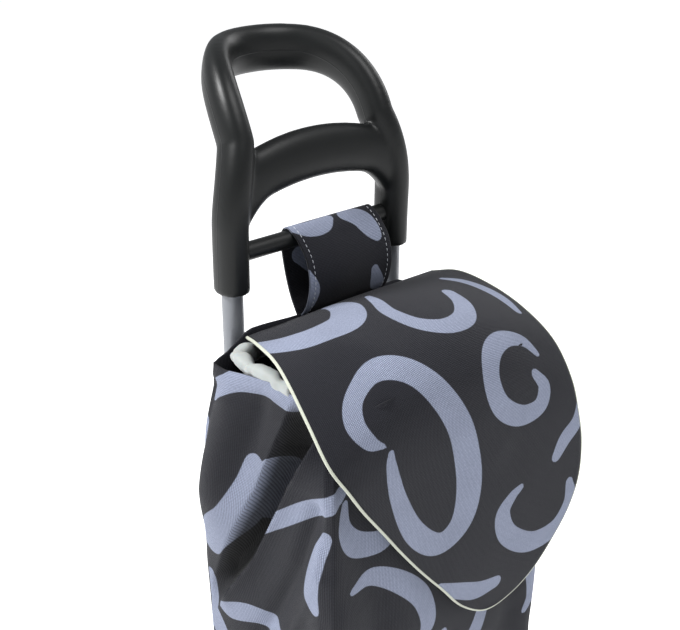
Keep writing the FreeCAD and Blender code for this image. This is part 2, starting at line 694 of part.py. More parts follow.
def rounded(half, front, back, high, corner):
    """A rectangle with round corners at one height."""
    flat = Part.makeBox(2 * half, back - front, 1, V(-half, front, high))
    upright_edges = [e for e in flat.Edges if abs(e.tangentAt(e.FirstParameter).z) > 0.9]
    solid = flat.makeFillet(corner, upright_edges)
    bottom = min(solid.Faces, key=lambda face: face.CenterOfMass.z)
    return bottom.OuterWire


def collar_shape():
    """A gathered tube of nylon sewn inside the rim: it closes in towards its open top."""
    half, corner = size("bag_width / 2 - panel"), size("collar_corner")
    front, back = size(BAG_FRONT) + size("panel"), size(BAG_BACK) - size("panel")
    shells = []
    for gap in (0, size("collar_cloth")):
        levels = []
        for high in (size("bag_top - collar_hem"), size("bag_top - collar_turn")):
            levels.append(rounded(half - gap, front + gap, back - gap, high, corner))
        narrow = size("collar_inset") + gap
        top_back = back - size("collar_back") - narrow
        top = size("bag_top + collar_rise")
        levels.append(rounded(half - narrow, front + narrow, top_back, top, corner))
        shells.append(Part.makeLoft(levels, True, True))
    return shells[0].cut(shells[1])


from_code("drawstring_collar", collar_shape())

HINGE_Y = f"{BAG_BACK} - sizes.panel - sizes.flap_hinge_gap"


def flap_side(proud=0.0):
    """The flap's side view: a strip of cloth over the bag's mouth and down its front."""
    hinge, rim, dome = size(HINGE_Y), size("bag_top"), size("flap_dome")
    front = size(BAG_FRONT) - size("flap_ease")
    top = [
        V(0, hinge, rim + 2), V(0, hinge - 50, rim + 0.72 * dome),
        V(0, (hinge + front) / 2 - 10, rim + dome), V(0, front + 20, rim + 0.58 * dome),
    ]
    bend, low = rim - size("flap_bend"), size("flap_tip") - 30
    hanging = [V(0, front, bend + (low - bend) * share) for share in (0, 0.15, 0.4, 0.7, 1)]
    curve = Part.BSplineCurve()
    curve.interpolate(top + hanging)
    points = curve.toShape().discretize(60)
    last = len(points) - 1
    upper, lower = [], []
    for i, point in enumerate(points):
        tangent = points[min(i + 1, last)] - points[max(i - 1, 0)]
        outward = V(0, tangent.z, -tangent.y).normalize()
        upper.append(point + outward * (size("flap_cloth") + proud))
        lower.append(point - outward * proud)
    outline, inner = Part.BSplineCurve(), Part.BSplineCurve()
    outline.interpolate(upper[::3] + [upper[-1]])
    inner.interpolate(lower[::3] + [lower[-1]])
    wire = Part.Wire([
        outline.toShape(), Part.makeLine(upper[-1], lower[-1]),
        inner.toShape(), Part.makeLine(lower[0], upper[0]),
    ])
    across = size("bag_width")
    return Part.Face(wire).extrude(V(2 * across, 0, 0)).translated(V(-across, 0, 0))


def flap_front(grow):
    """The flap's front view, as a block along Y: straight sides that swell, and a round tip."""
    middle, skew = size("flap_offset"), size("flap_skew")
    seam, belly = size("flap_width") / 2 + grow, size("flap_belly") / 2 + grow
    swell = belly + size("flap_swell")
    rim, tip = size("bag_top"), size("flap_tip") - grow
    drop = rim - tip
    outline = [
        V(-seam, 0, rim), V(-swell, 0, rim - 0.1 * drop), V(-0.62 * belly, 0, rim - 0.6 * drop),
        V(skew, 0, tip), V(0.82 * belly, 0, rim - 0.84 * drop), V(belly, 0, rim - 0.5 * drop),
        V(seam, 0, rim),
    ]
    deep = 2 * size("bag_depth")
    points = [point + V(middle, -deep, 0) for point in outline]
    side = Part.BSplineCurve()
    side.interpolate(points)
    above = V(0, 0, size("flap_dome") + 20)
    edges = [
        Part.LineSegment(points[0] + above, points[0]).toShape(), side.toShape(),
        Part.LineSegment(points[-1], points[-1] + above).toShape(),
        Part.LineSegment(points[-1] + above, points[0] + above).toShape(),
    ]
    return Part.Face(Part.Wire(edges)).extrude(V(0, 2 * deep, 0))


from_code("flap", flap_side().common(flap_front(0)))
band = flap_side(size("piping_proud")).common(flap_front(size("piping")))
from_code("flap_piping", band.cut(flap_front(0)))


def loop_shape():
    """A wide strap of bag cloth over the cross rod, sewn to the bag's back edge."""
    plane, high = size("tube_plane"), size(ROD_Z)
    left = size("loop_offset - loop_width / 2")
    around, thick = size("rod_dia") / 2 + size("running_gap"), size("loop_cloth")
    seam_y, seam_z = size(BAG_BACK) - size("panel"), size("bag_top")
    belly_z = high - size("loop_belly")
    solids = []
    for extra in (thick, 0):
        radius = around + extra
        back_end = V(left, seam_y + thick + size("loop_seam_gap") + extra, seam_z)
        reach = math.hypot(back_end.y - plane, back_end.z - high)
        touch = math.atan2(back_end.z - high, back_end.y - plane) + math.acos(radius / reach)
        back_top = V(left, plane + radius * math.cos(touch), high + radius * math.sin(touch))
        crest = V(left, plane, high + radius)
        front_top = V(left, plane - radius, high)
        belly = V(left, plane - size("loop_belly") - extra, belly_z)
        front_end = V(left, seam_y + thick - extra, seam_z)
        outline = Part.Wire([
            Part.makeLine(back_end, back_top),
            Part.Arc(back_top, crest, front_top).toShape(),
            Part.Arc(front_top, belly, front_end).toShape(),
            Part.makeLine(front_end, back_end),
        ])
        solids.append(Part.Face(outline).extrude(V(size("loop_width"), 0, 0)))
    return solids[0].cut(solids[1])


from_code("hanging_loop", loop_shape())


# ---------------------------------------------------------------- checks and files

doc.recompute()
for item in doc.Objects:
    if {"Invalid", "Error"} & set(item.State):
        raise RuntimeError(f"{item.Label} failed: {item.State}")
for item in nodes:
    if item.Shape.isNull() or not item.Shape.isValid():
        raise RuntimeError(f"{item.Label} has no valid shape")
os.makedirs("parts", exist_ok=True)
for item in nodes:
    item.Shape.exportStep(f"parts/{item.Label}.step")
    print(item.Label, len(item.Shape.Solids), round(item.Shape.Volume), item.Shape.BoundBox)
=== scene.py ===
import math

import bmesh
import bpy
import numpy as np
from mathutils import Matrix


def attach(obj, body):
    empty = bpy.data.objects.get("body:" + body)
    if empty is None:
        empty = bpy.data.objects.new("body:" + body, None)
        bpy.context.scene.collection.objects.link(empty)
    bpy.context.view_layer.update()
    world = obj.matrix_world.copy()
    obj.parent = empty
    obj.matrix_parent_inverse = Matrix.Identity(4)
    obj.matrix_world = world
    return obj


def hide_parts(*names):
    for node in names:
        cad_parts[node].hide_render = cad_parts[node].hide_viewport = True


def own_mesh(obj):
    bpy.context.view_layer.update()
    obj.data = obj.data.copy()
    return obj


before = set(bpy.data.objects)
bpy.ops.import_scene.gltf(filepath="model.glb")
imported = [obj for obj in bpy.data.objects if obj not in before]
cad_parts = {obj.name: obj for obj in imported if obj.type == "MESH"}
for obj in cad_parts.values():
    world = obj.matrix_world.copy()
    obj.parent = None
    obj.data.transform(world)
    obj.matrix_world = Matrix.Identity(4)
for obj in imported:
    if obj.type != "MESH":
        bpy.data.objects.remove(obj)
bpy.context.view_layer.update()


# ------------------------ studio
# A plain pale floor under soft studio light, seen from the front left and a little above,
# with a lens that takes in the bag's upper half, the grip and the flap.

FLOOR_PALE = (0.95, 0.95, 0.95, 1)
FLOOR_EDGES = (-30, 30)
FLOOR_GLOW = 0.62
AIR_COLOUR = (0.95, 0.97, 1.0, 1)
AIR_STRENGTH = 0.42
CAMERA_PLACE = (-0.6771, -0.7907, 1.1356)
CAMERA_TURN = math.radians(40.17)
CAMERA_DIP = math.radians(23.0)
SENSOR_WIDTH = 36
FOCAL_LENGTH = 58.24
FRAME_SHIFT = -0.057


def add(tree, kind, inputs=None, **settings):
    """A node of this kind, with its settings, and with each input set or joined to a socket."""
    node = tree.nodes.new(kind)
    for name, value in settings.items():
        setattr(node, name, value)
    for name, value in (inputs or {}).items():
        if isinstance(value, bpy.types.NodeSocket):
            tree.links.new(value, node.inputs[name])
        else:
            node.inputs[name].default_value = value
    return node


def new_finish(name, **shader_values):
    """A new material: (material, its node tree, its shader), with the shader's own values set."""
    material = bpy.data.materials.new(name)
    material.use_nodes = True
    tree = material.node_tree
    shader = tree.nodes["Principled BSDF"]
    for socket, value in shader_values.items():
        shader.inputs[socket.replace("_", " ")].default_value = value
    return material, tree, shader


def placed(name, data):
    """A new object in the scene that shows this mesh, lamp or camera."""
    thing = bpy.data.objects.new(name, data)
    bpy.context.scene.collection.objects.link(thing)
    return thing


def write_values(mesh, label, values):
    """Stores one number per point of a mesh under a label."""
    attribute = mesh.attributes.new(label, "FLOAT", "POINT")
    attribute.data.foreach_set("value", values.astype(np.float32).ravel())


def grid_mesh(name, points, wraps=False, cloth_uv=None, values=None):
    """
    A smooth mesh over a grid of points shaped (rows, columns, 3). Four neighbours make a face,
    and with wraps the last column joins the first. cloth_uv is a grid shaped (rows, columns, 2),
    with one more column where it wraps; values are grids of one number per point.
    """
    rows, columns = points.shape[:2]
    index = np.arange(rows * columns).reshape(rows, columns)
    if wraps:
        index = np.concatenate([index, index[:, :1]], axis=1)
    corners = [index[:-1, :-1], index[:-1, 1:], index[1:, 1:], index[1:, :-1]]
    faces = np.stack(corners, axis=-1).reshape(-1, 4)
    mesh = bpy.data.meshes.new(name)
    mesh.from_pydata(points.reshape(-1, 3).tolist(), [], faces.tolist())
    if cloth_uv is not None:
        at = [cloth_uv[:-1, :-1], cloth_uv[:-1, 1:], cloth_uv[1:, 1:], cloth_uv[1:, :-1]]
        layer = mesh.uv_layers.new(name="cloth")
        layer.data.foreach_set("uv", np.stack(at, axis=2).astype(np.float32).ravel())
    for label, grid in (values or {}).items():
        write_values(mesh, label, grid)
    mesh.shade_smooth()
    return placed(name, mesh)


floor_corners = np.array([[[x, y, 0.0] for x in FLOOR_EDGES] for y in FLOOR_EDGES], float)
floor = grid_mesh("floor", floor_corners)
pale_floor, tree, shader = new_finish(
    "pale_floor", Base_Color=FLOOR_PALE, Roughness=0.9,
    Emission_Color=(1, 1, 1, 1), Emission_Strength=FLOOR_GLOW,
)
floor.data.materials.append(pale_floor)

world = bpy.data.worlds.new("studio_air")
bpy.context.scene.world = world
world.use_nodes = True
air = world.node_tree.nodes["Background"]
air.inputs["Color"].default_value = AIR_COLOUR
air.inputs["Strength"].default_value = AIR_STRENGTH


def soft_lamp(name, place, aim, side, watts):
    """A square studio lamp at a place, turned to shine at aim."""
    light = bpy.data.lights.new(name, "AREA")
    light.shape = "SQUARE"
    light.size = side
    light.energy = watts
    lamp = placed(name, light)
    lamp.location = place
    away = np.array(place, float) - np.array(aim, float)
    turn = math.atan2(away[0], -away[1])
    tilt = math.acos(away[2] / np.linalg.norm(away))
    lamp.rotation_euler = (tilt, 0, turn)


soft_lamp("key_lamp", place=(-1.5, 0.75, 2.2), aim=(0, 0, 0.55), side=0.45, watts=62)
soft_lamp("top_lamp", place=(0.3, -0.9, 2.6), aim=(0, 0, 0.6), side=1.1, watts=26)
soft_lamp("side_lamp", place=(2.0, 0.3, 1.6), aim=(0, 0, 0.5), side=1.2, watts=14)

lens = bpy.data.cameras.new("camera")
lens.sensor_width = SENSOR_WIDTH
lens.lens = FOCAL_LENGTH
lens.shift_y = FRAME_SHIFT
camera = placed("camera", lens)
camera.location = CAMERA_PLACE
camera.rotation_euler = (math.pi / 2 - CAMERA_DIP, 0, -CAMERA_TURN)
bpy.context.scene.camera = camera
bpy.context.scene.view_settings.view_transform = "Standard"


# ------------------------ uprights and crossbars
# Two uprights and two crossbars of steel tube in grey powder coat. They carry everything:
# the grip is pushed on their tops and plastic brackets are bolted to their feet.

POWDER_GREY = (0.205, 0.215, 0.235, 1)
DRIFT_SCALE = 14
GRAIN_STRENGTH = 0.6


def graded(tree, value, start=(0, 1), end=(0, 1), smooth=False):
    """The socket of a value carried evenly from one range to another, and held at its ends."""
    ends = {"From Min": start[0], "From Max": start[1], "To Min": end[0], "To Max": end[1]}
    kind = "SMOOTHSTEP" if smooth else "LINEAR"
    node = add(tree, "ShaderNodeMapRange", {"Value": value, **ends}, interpolation_type=kind)
    return node.outputs["Result"]


def two_tone(tree, share, first, second):
    """The socket of a colour that goes from the first to the second as share goes from 0 to 1."""
    ends = {"Factor": share, "A": first, "B": second}
    return add(tree, "ShaderNodeMix", ends, data_type="RGBA").outputs["Result"]


def noise(tree, place, scale, detail):
    """The socket of an even noise at a place."""
    inputs = {"Vector": place, "Scale": scale, "Detail": detail}
    return add(tree, "ShaderNodeTexNoise", inputs).outputs["Fac"]


def grained(name, colour, spread, grain, height, rough, rough_spread, **shader_values):
    """
    A new material with a grained surface: a fine noise sets the grain's height, and a broad
    noise makes the colour and the gloss drift by a little.
    """
    material, tree, shader = new_finish(name, **shader_values)
    place = add(tree, "ShaderNodeTexCoord").outputs["Object"]
    broad = noise(tree, place, DRIFT_SCALE, 6)
    fine = noise(tree, place, grain, 3)
    dark = [c * (1 - spread) for c in colour[:3]] + [1]
    light = [c * (1 + spread) for c in colour[:3]] + [1]
    tree.links.new(two_tone(tree, broad, dark, light), shader.inputs["Base Color"])
    gloss = graded(tree, broad, end=(rough - rough_spread, rough + rough_spread))
    tree.links.new(gloss, shader.inputs["Roughness"])
    depth = {"Height": fine, "Strength": GRAIN_STRENGTH, "Distance": height}
    bump = add(tree, "ShaderNodeBump", depth)
    tree.links.new(bump.outputs["Normal"], shader.inputs["Normal"])
    return material


def over_grain(material, height, strength, distance):
    """Adds a second relief on top of a grained material's own."""
    tree = material.node_tree
    inputs = {"Height": height, "Strength": strength, "Distance": distance}
    bump = add(tree, "ShaderNodeBump", {**inputs, "Normal": tree.nodes["Bump"].outputs["Normal"]})
    tree.links.new(bump.outputs["Normal"], tree.nodes["Principled BSDF"].inputs["Normal"])


def cover(material, *nodes):
    """Gives CAD nodes this material in all their slots."""
    for name in nodes:
        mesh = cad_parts[name].data
        mesh.materials.clear()
        mesh.materials.append(material)


powder_coat = grained(
    "powder_coat", POWDER_GREY, spread=0.06, grain=900, height=0.0002, rough=0.4, rough_spread=0.05,
    Metallic=0.35, Coat_Weight=0.15,
)
cover(powder_coat, "upright_left", "upright_right", "crossbar_low", "crossbar_mid")


# ------------------------ grip and cross rod
# A moulded black plastic arch with a lower second grip, pushed over the uprights' tops. A black
# rod joins its legs below the second grip and carries the bag's hanging loop.

GRIP_BLACK = (0.0048, 0.0055, 0.0056, 1)
TUBE_PLANE = 0.052
GRIP_FOOT = 0.690
GRIP_RISE = 0.260
LEAN_START = 0.33
LEAN_BACK = math.radians(86)
LEAN_FORWARD = math.radians(1.5)
LEG_HALF = 0.1075
LEG_BEND_START = 0.45
LEG_BEND = 1.7
TOP_HALF = 0.0905
GRIP_CORNER = 0.111
GRIP_CROWN = 0.016
SQUARENESS = 0.86
OVAL_POINTS = 32
LEG_SIZE = (0.033, 0.039)
BAR_SIZE = (0.028, 0.050)
SECOND_SIZE = (0.052, 0.030)
SECOND_UP = 0.106
SECOND_CROWN = 0.019
SECOND_INSET = 0.008
SECOND_FLARE = (0.012, 0.030, 0.05)
PARTING_HALF = (0.0002, 0.0008)
LINE_STEP = 0.001
LINE_BELOW = 0.04


def ramp(value, start, end):
    """0 up to start, then evenly up to 1 at end and beyond; start may be the higher of the two."""
    return np.clip((value - start) / (end - start), 0, 1)


def squared_off(wave, power):
    """A sine or cosine drawn squarer: its size to a power below 1, with its sign kept."""
    return np.sign(wave) * np.abs(wave) ** power


def grip_lean(v):
    """Lean of the grip at v along its side view: a little forward, then more and more back."""
    share = ramp(v / GRIP_RISE, LEAN_START, 1)
    forward = np.sin(math.pi * np.clip(v / GRIP_RISE / 0.5, 0, 1))
    return LEAN_BACK * share**1.3 - LEAN_FORWARD * forward


def on_grip(u, v):
    """Points at (u, v) of the grip's unrolled plane: the side view is the lean added up."""
    steps = np.arange(-LINE_BELOW, 0.34, LINE_STEP)
    lean = grip_lean(steps + LINE_STEP / 2)
    y = TUBE_PLANE + np.concatenate([[0], np.cumsum(np.sin(lean) * LINE_STEP)])[:-1]
    z = GRIP_FOOT - LINE_BELOW + np.concatenate([[0], np.cumsum(np.cos(lean) * LINE_STEP)])[:-1]
    return np.stack([u, np.interp(v, steps, y), np.interp(v, steps, z)], axis=-1)


def to_front(lean):
    """The direction straight out of the grip's front where it leans so."""
    return np.stack([0 * lean, -np.cos(lean), np.sin(lean)], axis=-1)


def moulded_oval(u, v, widths, depths, name, tilts=True):
    """
    A closed tube of oval sections along (u, v): each point is the line's place, plus the oval's
    cosine across and its sine to the front, both drawn a little squarer than an ellipse. The
    ovals stand square to the line, or to the bar's length where they don't tilt.
    """
    place = on_grip(u, v)
    du, dv = np.gradient(u), np.gradient(v) * tilts
    length = np.hypot(du, dv)
    lean = grip_lean(v)
    uphill = np.stack([0 * lean, np.sin(lean), np.cos(lean)], axis=-1)
    across = np.stack([dv / length, 0 * lean, 0 * lean], axis=-1) - uphill * (du / length)[:, None]
    turn = np.linspace(0, 2 * math.pi, OVAL_POINTS, endpoint=False)
    wide = squared_off(np.cos(turn), SQUARENESS)[None] * widths[:, None] / 2
    deep = squared_off(np.sin(turn), SQUARENESS)[None] * depths[:, None] / 2
    ring = place[:, None] + across[:, None] * wide[..., None] + to_front(lean)[:, None] * deep[..., None]
    ends = [np.repeat(place[[i]], OVAL_POINTS, axis=0)[None] for i in (0, -1)]
    return grid_mesh(name, np.concatenate([ends[0], ring, ends[1]]), wraps=True)


share = np.linspace(0, 1, 36)
leg_u = LEG_HALF + (TOP_HALF - LEG_HALF) * ramp(share, LEG_BEND_START, 1) ** LEG_BEND
leg_v = (GRIP_RISE - GRIP_CORNER) * share
turn = math.pi / 2 * np.linspace(0, 1, 34)[1:]
top_u = TOP_HALF * squared_off(np.cos(turn), SQUARENESS)
top_v = GRIP_RISE - GRIP_CORNER + GRIP_CORNER * squared_off(np.sin(turn), SQUARENESS)
top_v = top_v + GRIP_CROWN * (1 - (top_u / TOP_HALF) ** 2)
right_u = np.concatenate([leg_u, top_u])
right_v = np.concatenate([leg_v, top_v])
arch_u = np.concatenate([-right_u[:-1], right_u[::-1]])
arch_v = np.concatenate([right_v[:-1], right_v[::-1]])
share = 1 - np.abs(np.linspace(-1, 1, len(arch_u)))
ease = 3 * share**2 - 2 * share**3
arch_widths = LEG_SIZE[0] + (BAR_SIZE[0] - LEG_SIZE[0]) * ease
arch_depths = LEG_SIZE[1] + (BAR_SIZE[1] - LEG_SIZE[1]) * ease
arch = moulded_oval(arch_u, arch_v, arch_widths, arch_depths, "arch_blank")

share = np.linspace(-1, 1, 33)
flare = ramp(np.abs(share), 0.6, 1) ** 2
second_u = share * (LEG_HALF - SECOND_INSET)
second_v = SECOND_UP + SECOND_CROWN * (1 - share**2) - SECOND_FLARE[0] * flare
second_widths = SECOND_SIZE[0] + SECOND_FLARE[1] * flare
second_depths = SECOND_SIZE[1] * (1 + SECOND_FLARE[2] * flare)
second = moulded_oval(second_u, second_v, second_widths, second_depths, "second_blank", tilts=False)


def fused(name, voxel, rounds, *blanks):
    """One smooth closed mesh from several blanks: remeshed together, then smoothed."""
    shell = bmesh.new()
    for blank in blanks:
        shell.from_mesh(blank.data)
        bpy.data.objects.remove(blank)
    bmesh.ops.remove_doubles(shell, verts=shell.verts, dist=1e-6)
    bmesh.ops.recalc_face_normals(shell, faces=shell.faces)
    mesh = bpy.data.meshes.new(name)
    shell.to_mesh(mesh)
    shell.free()
    piece = placed(name, mesh)
    remesh = piece.modifiers.new("fuse", "REMESH")
    remesh.mode = "VOXEL"
    remesh.voxel_size = voxel
    smooth = piece.modifiers.new("soften", "SMOOTH")
    smooth.factor = 0.5
    smooth.iterations = rounds
    bpy.context.view_layer.update()
    depsgraph = bpy.context.evaluated_depsgraph_get()
    baked = bpy.data.meshes.new_from_object(piece.evaluated_get(depsgraph))
    piece.modifiers.clear()
    piece.data = baked
    baked.name = name
    baked.shade_smooth()
    return piece


def maths(tree, operation, *values):
    """The socket of one sum on values or other sockets."""
    return add(tree, "ShaderNodeMath", dict(enumerate(values)), operation=operation).outputs[0]


grip = fused("moulded_grip", 0.0022, 9, arch, second)
points = np.empty(len(grip.data.vertices) * 3)
grip.data.vertices.foreach_get("co", points)
points = points.reshape(-1, 3)
line = on_grip(arch_u, arch_v)
nearest = np.argmin(((points[:, None] - line[None]) ** 2).sum(-1), axis=1)
parting = ((points - line[nearest]) * to_front(grip_lean(arch_v[nearest]))).sum(-1)
write_values(grip.data, "parting", parting)

# The two halves of the mould meet in a fine raised line along the grip's sides.
grip_plastic = grained(
    "grip_plastic", GRIP_BLACK, spread=0.2, grain=1500, height=0.00012, rough=0.40, rough_spread=0.07,
    Specular_IOR_Level=0.30,
)
tree = grip_plastic.node_tree
side = add(tree, "ShaderNodeAttribute", attribute_name="parting").outputs["Fac"]
ridge = graded(tree, maths(tree, "ABSOLUTE", side), start=PARTING_HALF, end=(1, 0), smooth=True)
over_grain(grip_plastic, ridge, strength=0.7, distance=0.00025)
grip.data.materials.append(grip_plastic)
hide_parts("grip")
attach(grip, "trolley")

rod_black = grained(
    "rod_black", GRIP_BLACK, spread=0.15, grain=1200, height=0.0001, rough=0.42, rough_spread=0.06,
    Specular_IOR_Level=0.4,
)
cover(rod_black, "cross_rod")


# ------------------------ brackets, axle and fasteners
# Black plastic brackets bolted to the uprights' feet hold a plain zinc-plated axle behind the
# bag, with plastic spacers, washers and pressed nuts.

BRACKET_BLACK = (0.018, 0.019, 0.021, 1)
ZINC = (0.55, 0.56, 0.56, 1)

bracket_plastic = grained(
    "bracket_plastic", BRACKET_BLACK, spread=0.2, grain=1100, height=0.0002, rough=0.55, rough_spread=0.08,
    Specular_IOR_Level=0.35,
)
cover(bracket_plastic, "bracket_left", "bracket_right", "axle_spacers")

zinc_plate = grained(
    "zinc_plate", ZINC, spread=0.14, grain=700, height=0.0001, rough=0.36, rough_spread=0.09,
    Metallic=1.0,
)
cover(zinc_plate, "bracket_bolts", "axle", "axle_washers", "push_nuts", "prop_rivets")


# ------------------------ wheels
# Black moulded rims with a cap over the axle's end, and tyres of solid rubber with a zigzag
# tread, turned as one ring each and sprung over the rims.

TYRE_BLACK = (0.022, 0.022, 0.023, 1)
RIM_BLACK = (0.020, 0.021, 0.023, 1)
AXLE_Y = 0.080
AXLE_Z = 0.080
WHEEL_X = 0.173
TYRE_RADIUS = 0.080
TYRE_SEAT = 0.062
TYRE_HALF = 0.014
ZIGZAGS = 36
ZIGZAG_REACH = 0.0022
GROOVE_HALF = 0.0011
GROOVE_DEPTH = 0.0014
SHOULDER_CUTS = 60
SHOULDER_START = 0.0055
TREAD_FROM = 0.0755


def bell(value, middle, spread, power=2):
    """1 at the middle, dying away on both sides: e to the minus (distance / spread) to a power."""
    return np.exp(-(((value - middle) / spread) ** power))


def tyre_ring(name, middle):
    """
    A ring of rubber: a rounded box section carried round the axle. The tread's height drops in
    a zigzag groove along its middle and in slanting grooves at its shoulders.
    """
    around = np.linspace(0, 2 * math.pi, 360, endpoint=False)
    section = np.linspace(0, 2 * math.pi, 56, endpoint=False)
    across = squared_off(np.cos(section), 0.55) * TYRE_HALF
    thick = (TYRE_RADIUS - TYRE_SEAT) / 2
    radius = (TYRE_RADIUS + TYRE_SEAT) / 2 + squared_off(np.sin(section), 0.62) * thick
    turn, x = np.meshgrid(around, across, indexing="ij")
    turns = turn / (2 * math.pi)
    zigzag = ZIGZAG_REACH * (np.abs((turns * ZIGZAGS % 1) * 2 - 1) - 0.5)
    middle_groove = bell(x, zigzag, GROOVE_HALF, 4)
    slant = (turns * SHOULDER_CUTS + np.abs(x) * 60) % 1
    shoulder_groove = bell(slant, 0.5, 0.16, 4) * (np.abs(x) > SHOULDER_START)
    outside = ramp(radius[None], TREAD_FROM, TREAD_FROM + 0.002)
    deep = radius[None] - GROOVE_DEPTH * np.maximum(middle_groove, shoulder_groove) * outside
    points = np.stack([middle + x, AXLE_Y + deep * np.cos(turn), AXLE_Z + deep * np.sin(turn)], axis=-1)
    points = np.concatenate([points, points[:1]])
    return grid_mesh(name, points, wraps=True)


def weld(piece, outward=True):
    """Joins a mesh's doubled points and turns its faces outwards."""
    shell = bmesh.new()
    shell.from_mesh(piece.data)
    bmesh.ops.remove_doubles(shell, verts=shell.verts, dist=1e-6)
    bmesh.ops.dissolve_degenerate(shell, edges=shell.edges, dist=1e-7)
    if outward:
        bmesh.ops.recalc_face_normals(shell, faces=shell.faces)
    shell.to_mesh(piece.data)
    shell.free()
    piece.data.shade_smooth()


tyre_rubber = grained(
    "tyre_rubber", TYRE_BLACK, spread=0.3, grain=800, height=0.0002, rough=0.72, rough_spread=0.1,
    Specular_IOR_Level=0.3, Sheen_Weight=0.15,
)
for side, sign in (("left", -1), ("right", 1)):
    tyre = tyre_ring(f"treaded_tyre_{side}", sign * WHEEL_X)
    weld(tyre)
    tyre.data.materials.append(tyre_rubber)
    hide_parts(f"tyre_{side}")
    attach(tyre, f"wheel_{side}")

rim_plastic = grained(
    "rim_plastic", RIM_BLACK, spread=0.2, grain=900, height=0.00025, rough=0.45, rough_spread=0.07,
    Specular_IOR_Level=0.4,
)
cover(rim_plastic, "rim_left", "rim_right", "hub_cap_left", "hub_cap_right")


# ------------------------ deck and prop
# A frame of bent tube with three wires across it carries the bag's floor, and a U of thinner
# tube under its front edge is riveted on and folds down as the prop, on two rubber feet.

FOOT_BLACK = (0.019, 0.019, 0.02, 1)
BOARD_BLACK = (0.05, 0.05, 0.054, 1)

cover(powder_coat, "deck_tube", "deck_wires", "prop")
foot_rubber = grained(
    "foot_rubber", FOOT_BLACK, spread=0.25, grain=900, height=0.0002, rough=0.7, rough_spread=0.08,
    Specular_IOR_Level=0.3,
)
cover(foot_rubber, "rubber_feet")
stiff_board = grained(
    "stiff_board", BOARD_BLACK, spread=0.2, grain=700, height=0.0003, rough=0.7, rough_spread=0.08,
    Specular_IOR_Level=0.3,
)
cover(stiff_board, "base_board")


# ------------------------ bag
# A soft bag of woven polyester, printed with pale swirls: one shell of cloth that sags and folds
# between its sewn corners, a floor panel, and a hem round its mouth.

NAVY = (0.0125, 0.0130, 0.0195, 1)
SWIRL_BLUE = (0.300, 0.335, 0.450, 1)
UNPRINTED = -0.05
PRINT_EDGE = (-0.0005, 0.0005)
WEAVE = 0.0016
BAG_HALF = 0.150
BAG_FRONT = -0.157
BAG_BACK = 0.033
BAG_MIDDLE = (BAG_BACK + BAG_FRONT) / 2
BAG_DEEP = (BAG_BACK - BAG_FRONT) / 2
BAG_LOW = 0.102
BAG_HIGH = 0.646
CORNER = 0.012
CLOTH = 0.0016
HEM = 0.016
MM_PER_METRE = 1000
STROKE_STEPS = 26


def through(points, count):
    """A smooth line of count points through the given ones: a cubic joins each pair, with its
    slope at a point taken from the point's two neighbours."""
    points = np.array(points, float)
    padded = np.concatenate([2 * points[:1] - points[1:2], points, 2 * points[-1:] - points[-2:-1]])
    at = np.linspace(0, len(points) - 1 - 1e-9, count)
    i, t = at.astype(int), (at % 1)[:, None]
    a, b, c, d = padded[i], padded[i + 1], padded[i + 2], padded[i + 3]
    bend = 2 * a - 5 * b + 4 * c - d
    twist = 3 * b - a - 3 * c + d
    return 0.5 * (2 * b + (c - a) * t + bend * t**2 + twist * t**3)


def lengths_along(line):
    """How far along a line of points each point is."""
    return np.concatenate([[0], np.cumsum(np.linalg.norm(np.diff(line, axis=0), axis=1))])


def unit(vectors):
    """The same directions at length 1."""
    return vectors / np.maximum(np.linalg.norm(vectors, axis=-1, keepdims=True), 1e-9)


def swirl_print(u, v, strokes):
    """
    How far each place (u, v) of the cloth lies inside the nearest printed stroke, in metres. A
    stroke is a smooth line of (u, v, half width) points; the depth is its half width less the
    distance to it.
    """
    depth = np.full(u.shape, UNPRINTED)
    for stroke in strokes:
        line = through(np.array(stroke) / MM_PER_METRE, STROKE_STEPS * (len(stroke) - 1))
        for su, sv, half in line:
            depth = np.maximum(depth, half - np.hypot(u - su, v - sv))
    return depth


def near_line(y, z, line):
    """Distance from each (y, z) to a line of straight runs, and how far along it, from 0 to 1."""
    best, place = np.full(y.shape, 9.0), np.zeros(y.shape)
    line = np.array(line, float) / MM_PER_METRE
    for i, (a, b) in enumerate(zip(line[:-1], line[1:])):
        run = b - a
        t = np.clip(((y - a[0]) * run[0] + (z - a[1]) * run[1]) / (run @ run), 0, 1)
        away = np.hypot(y - a[0] - t * run[0], z - a[1] - t * run[1])
        place = np.where(away < best, (i + t) / (len(line) - 1), place)
        best = np.minimum(best, away)
    return best, place


def ripple(a, b, seed, count=7):
    """Soft unevenness from -1 to 1: a sum of sine waves of seeded directions and lengths."""
    draw = np.random.default_rng(seed)
    total = np.zeros(np.broadcast(a, b).shape)
    for _ in range(count):
        fa, fb, phase = draw.uniform(8, 42), draw.uniform(8, 42), draw.uniform(0, 6.28)
        total = total + np.sin(a * fa * draw.choice([-1, 1]) + b * fb + phase)
    return total / count


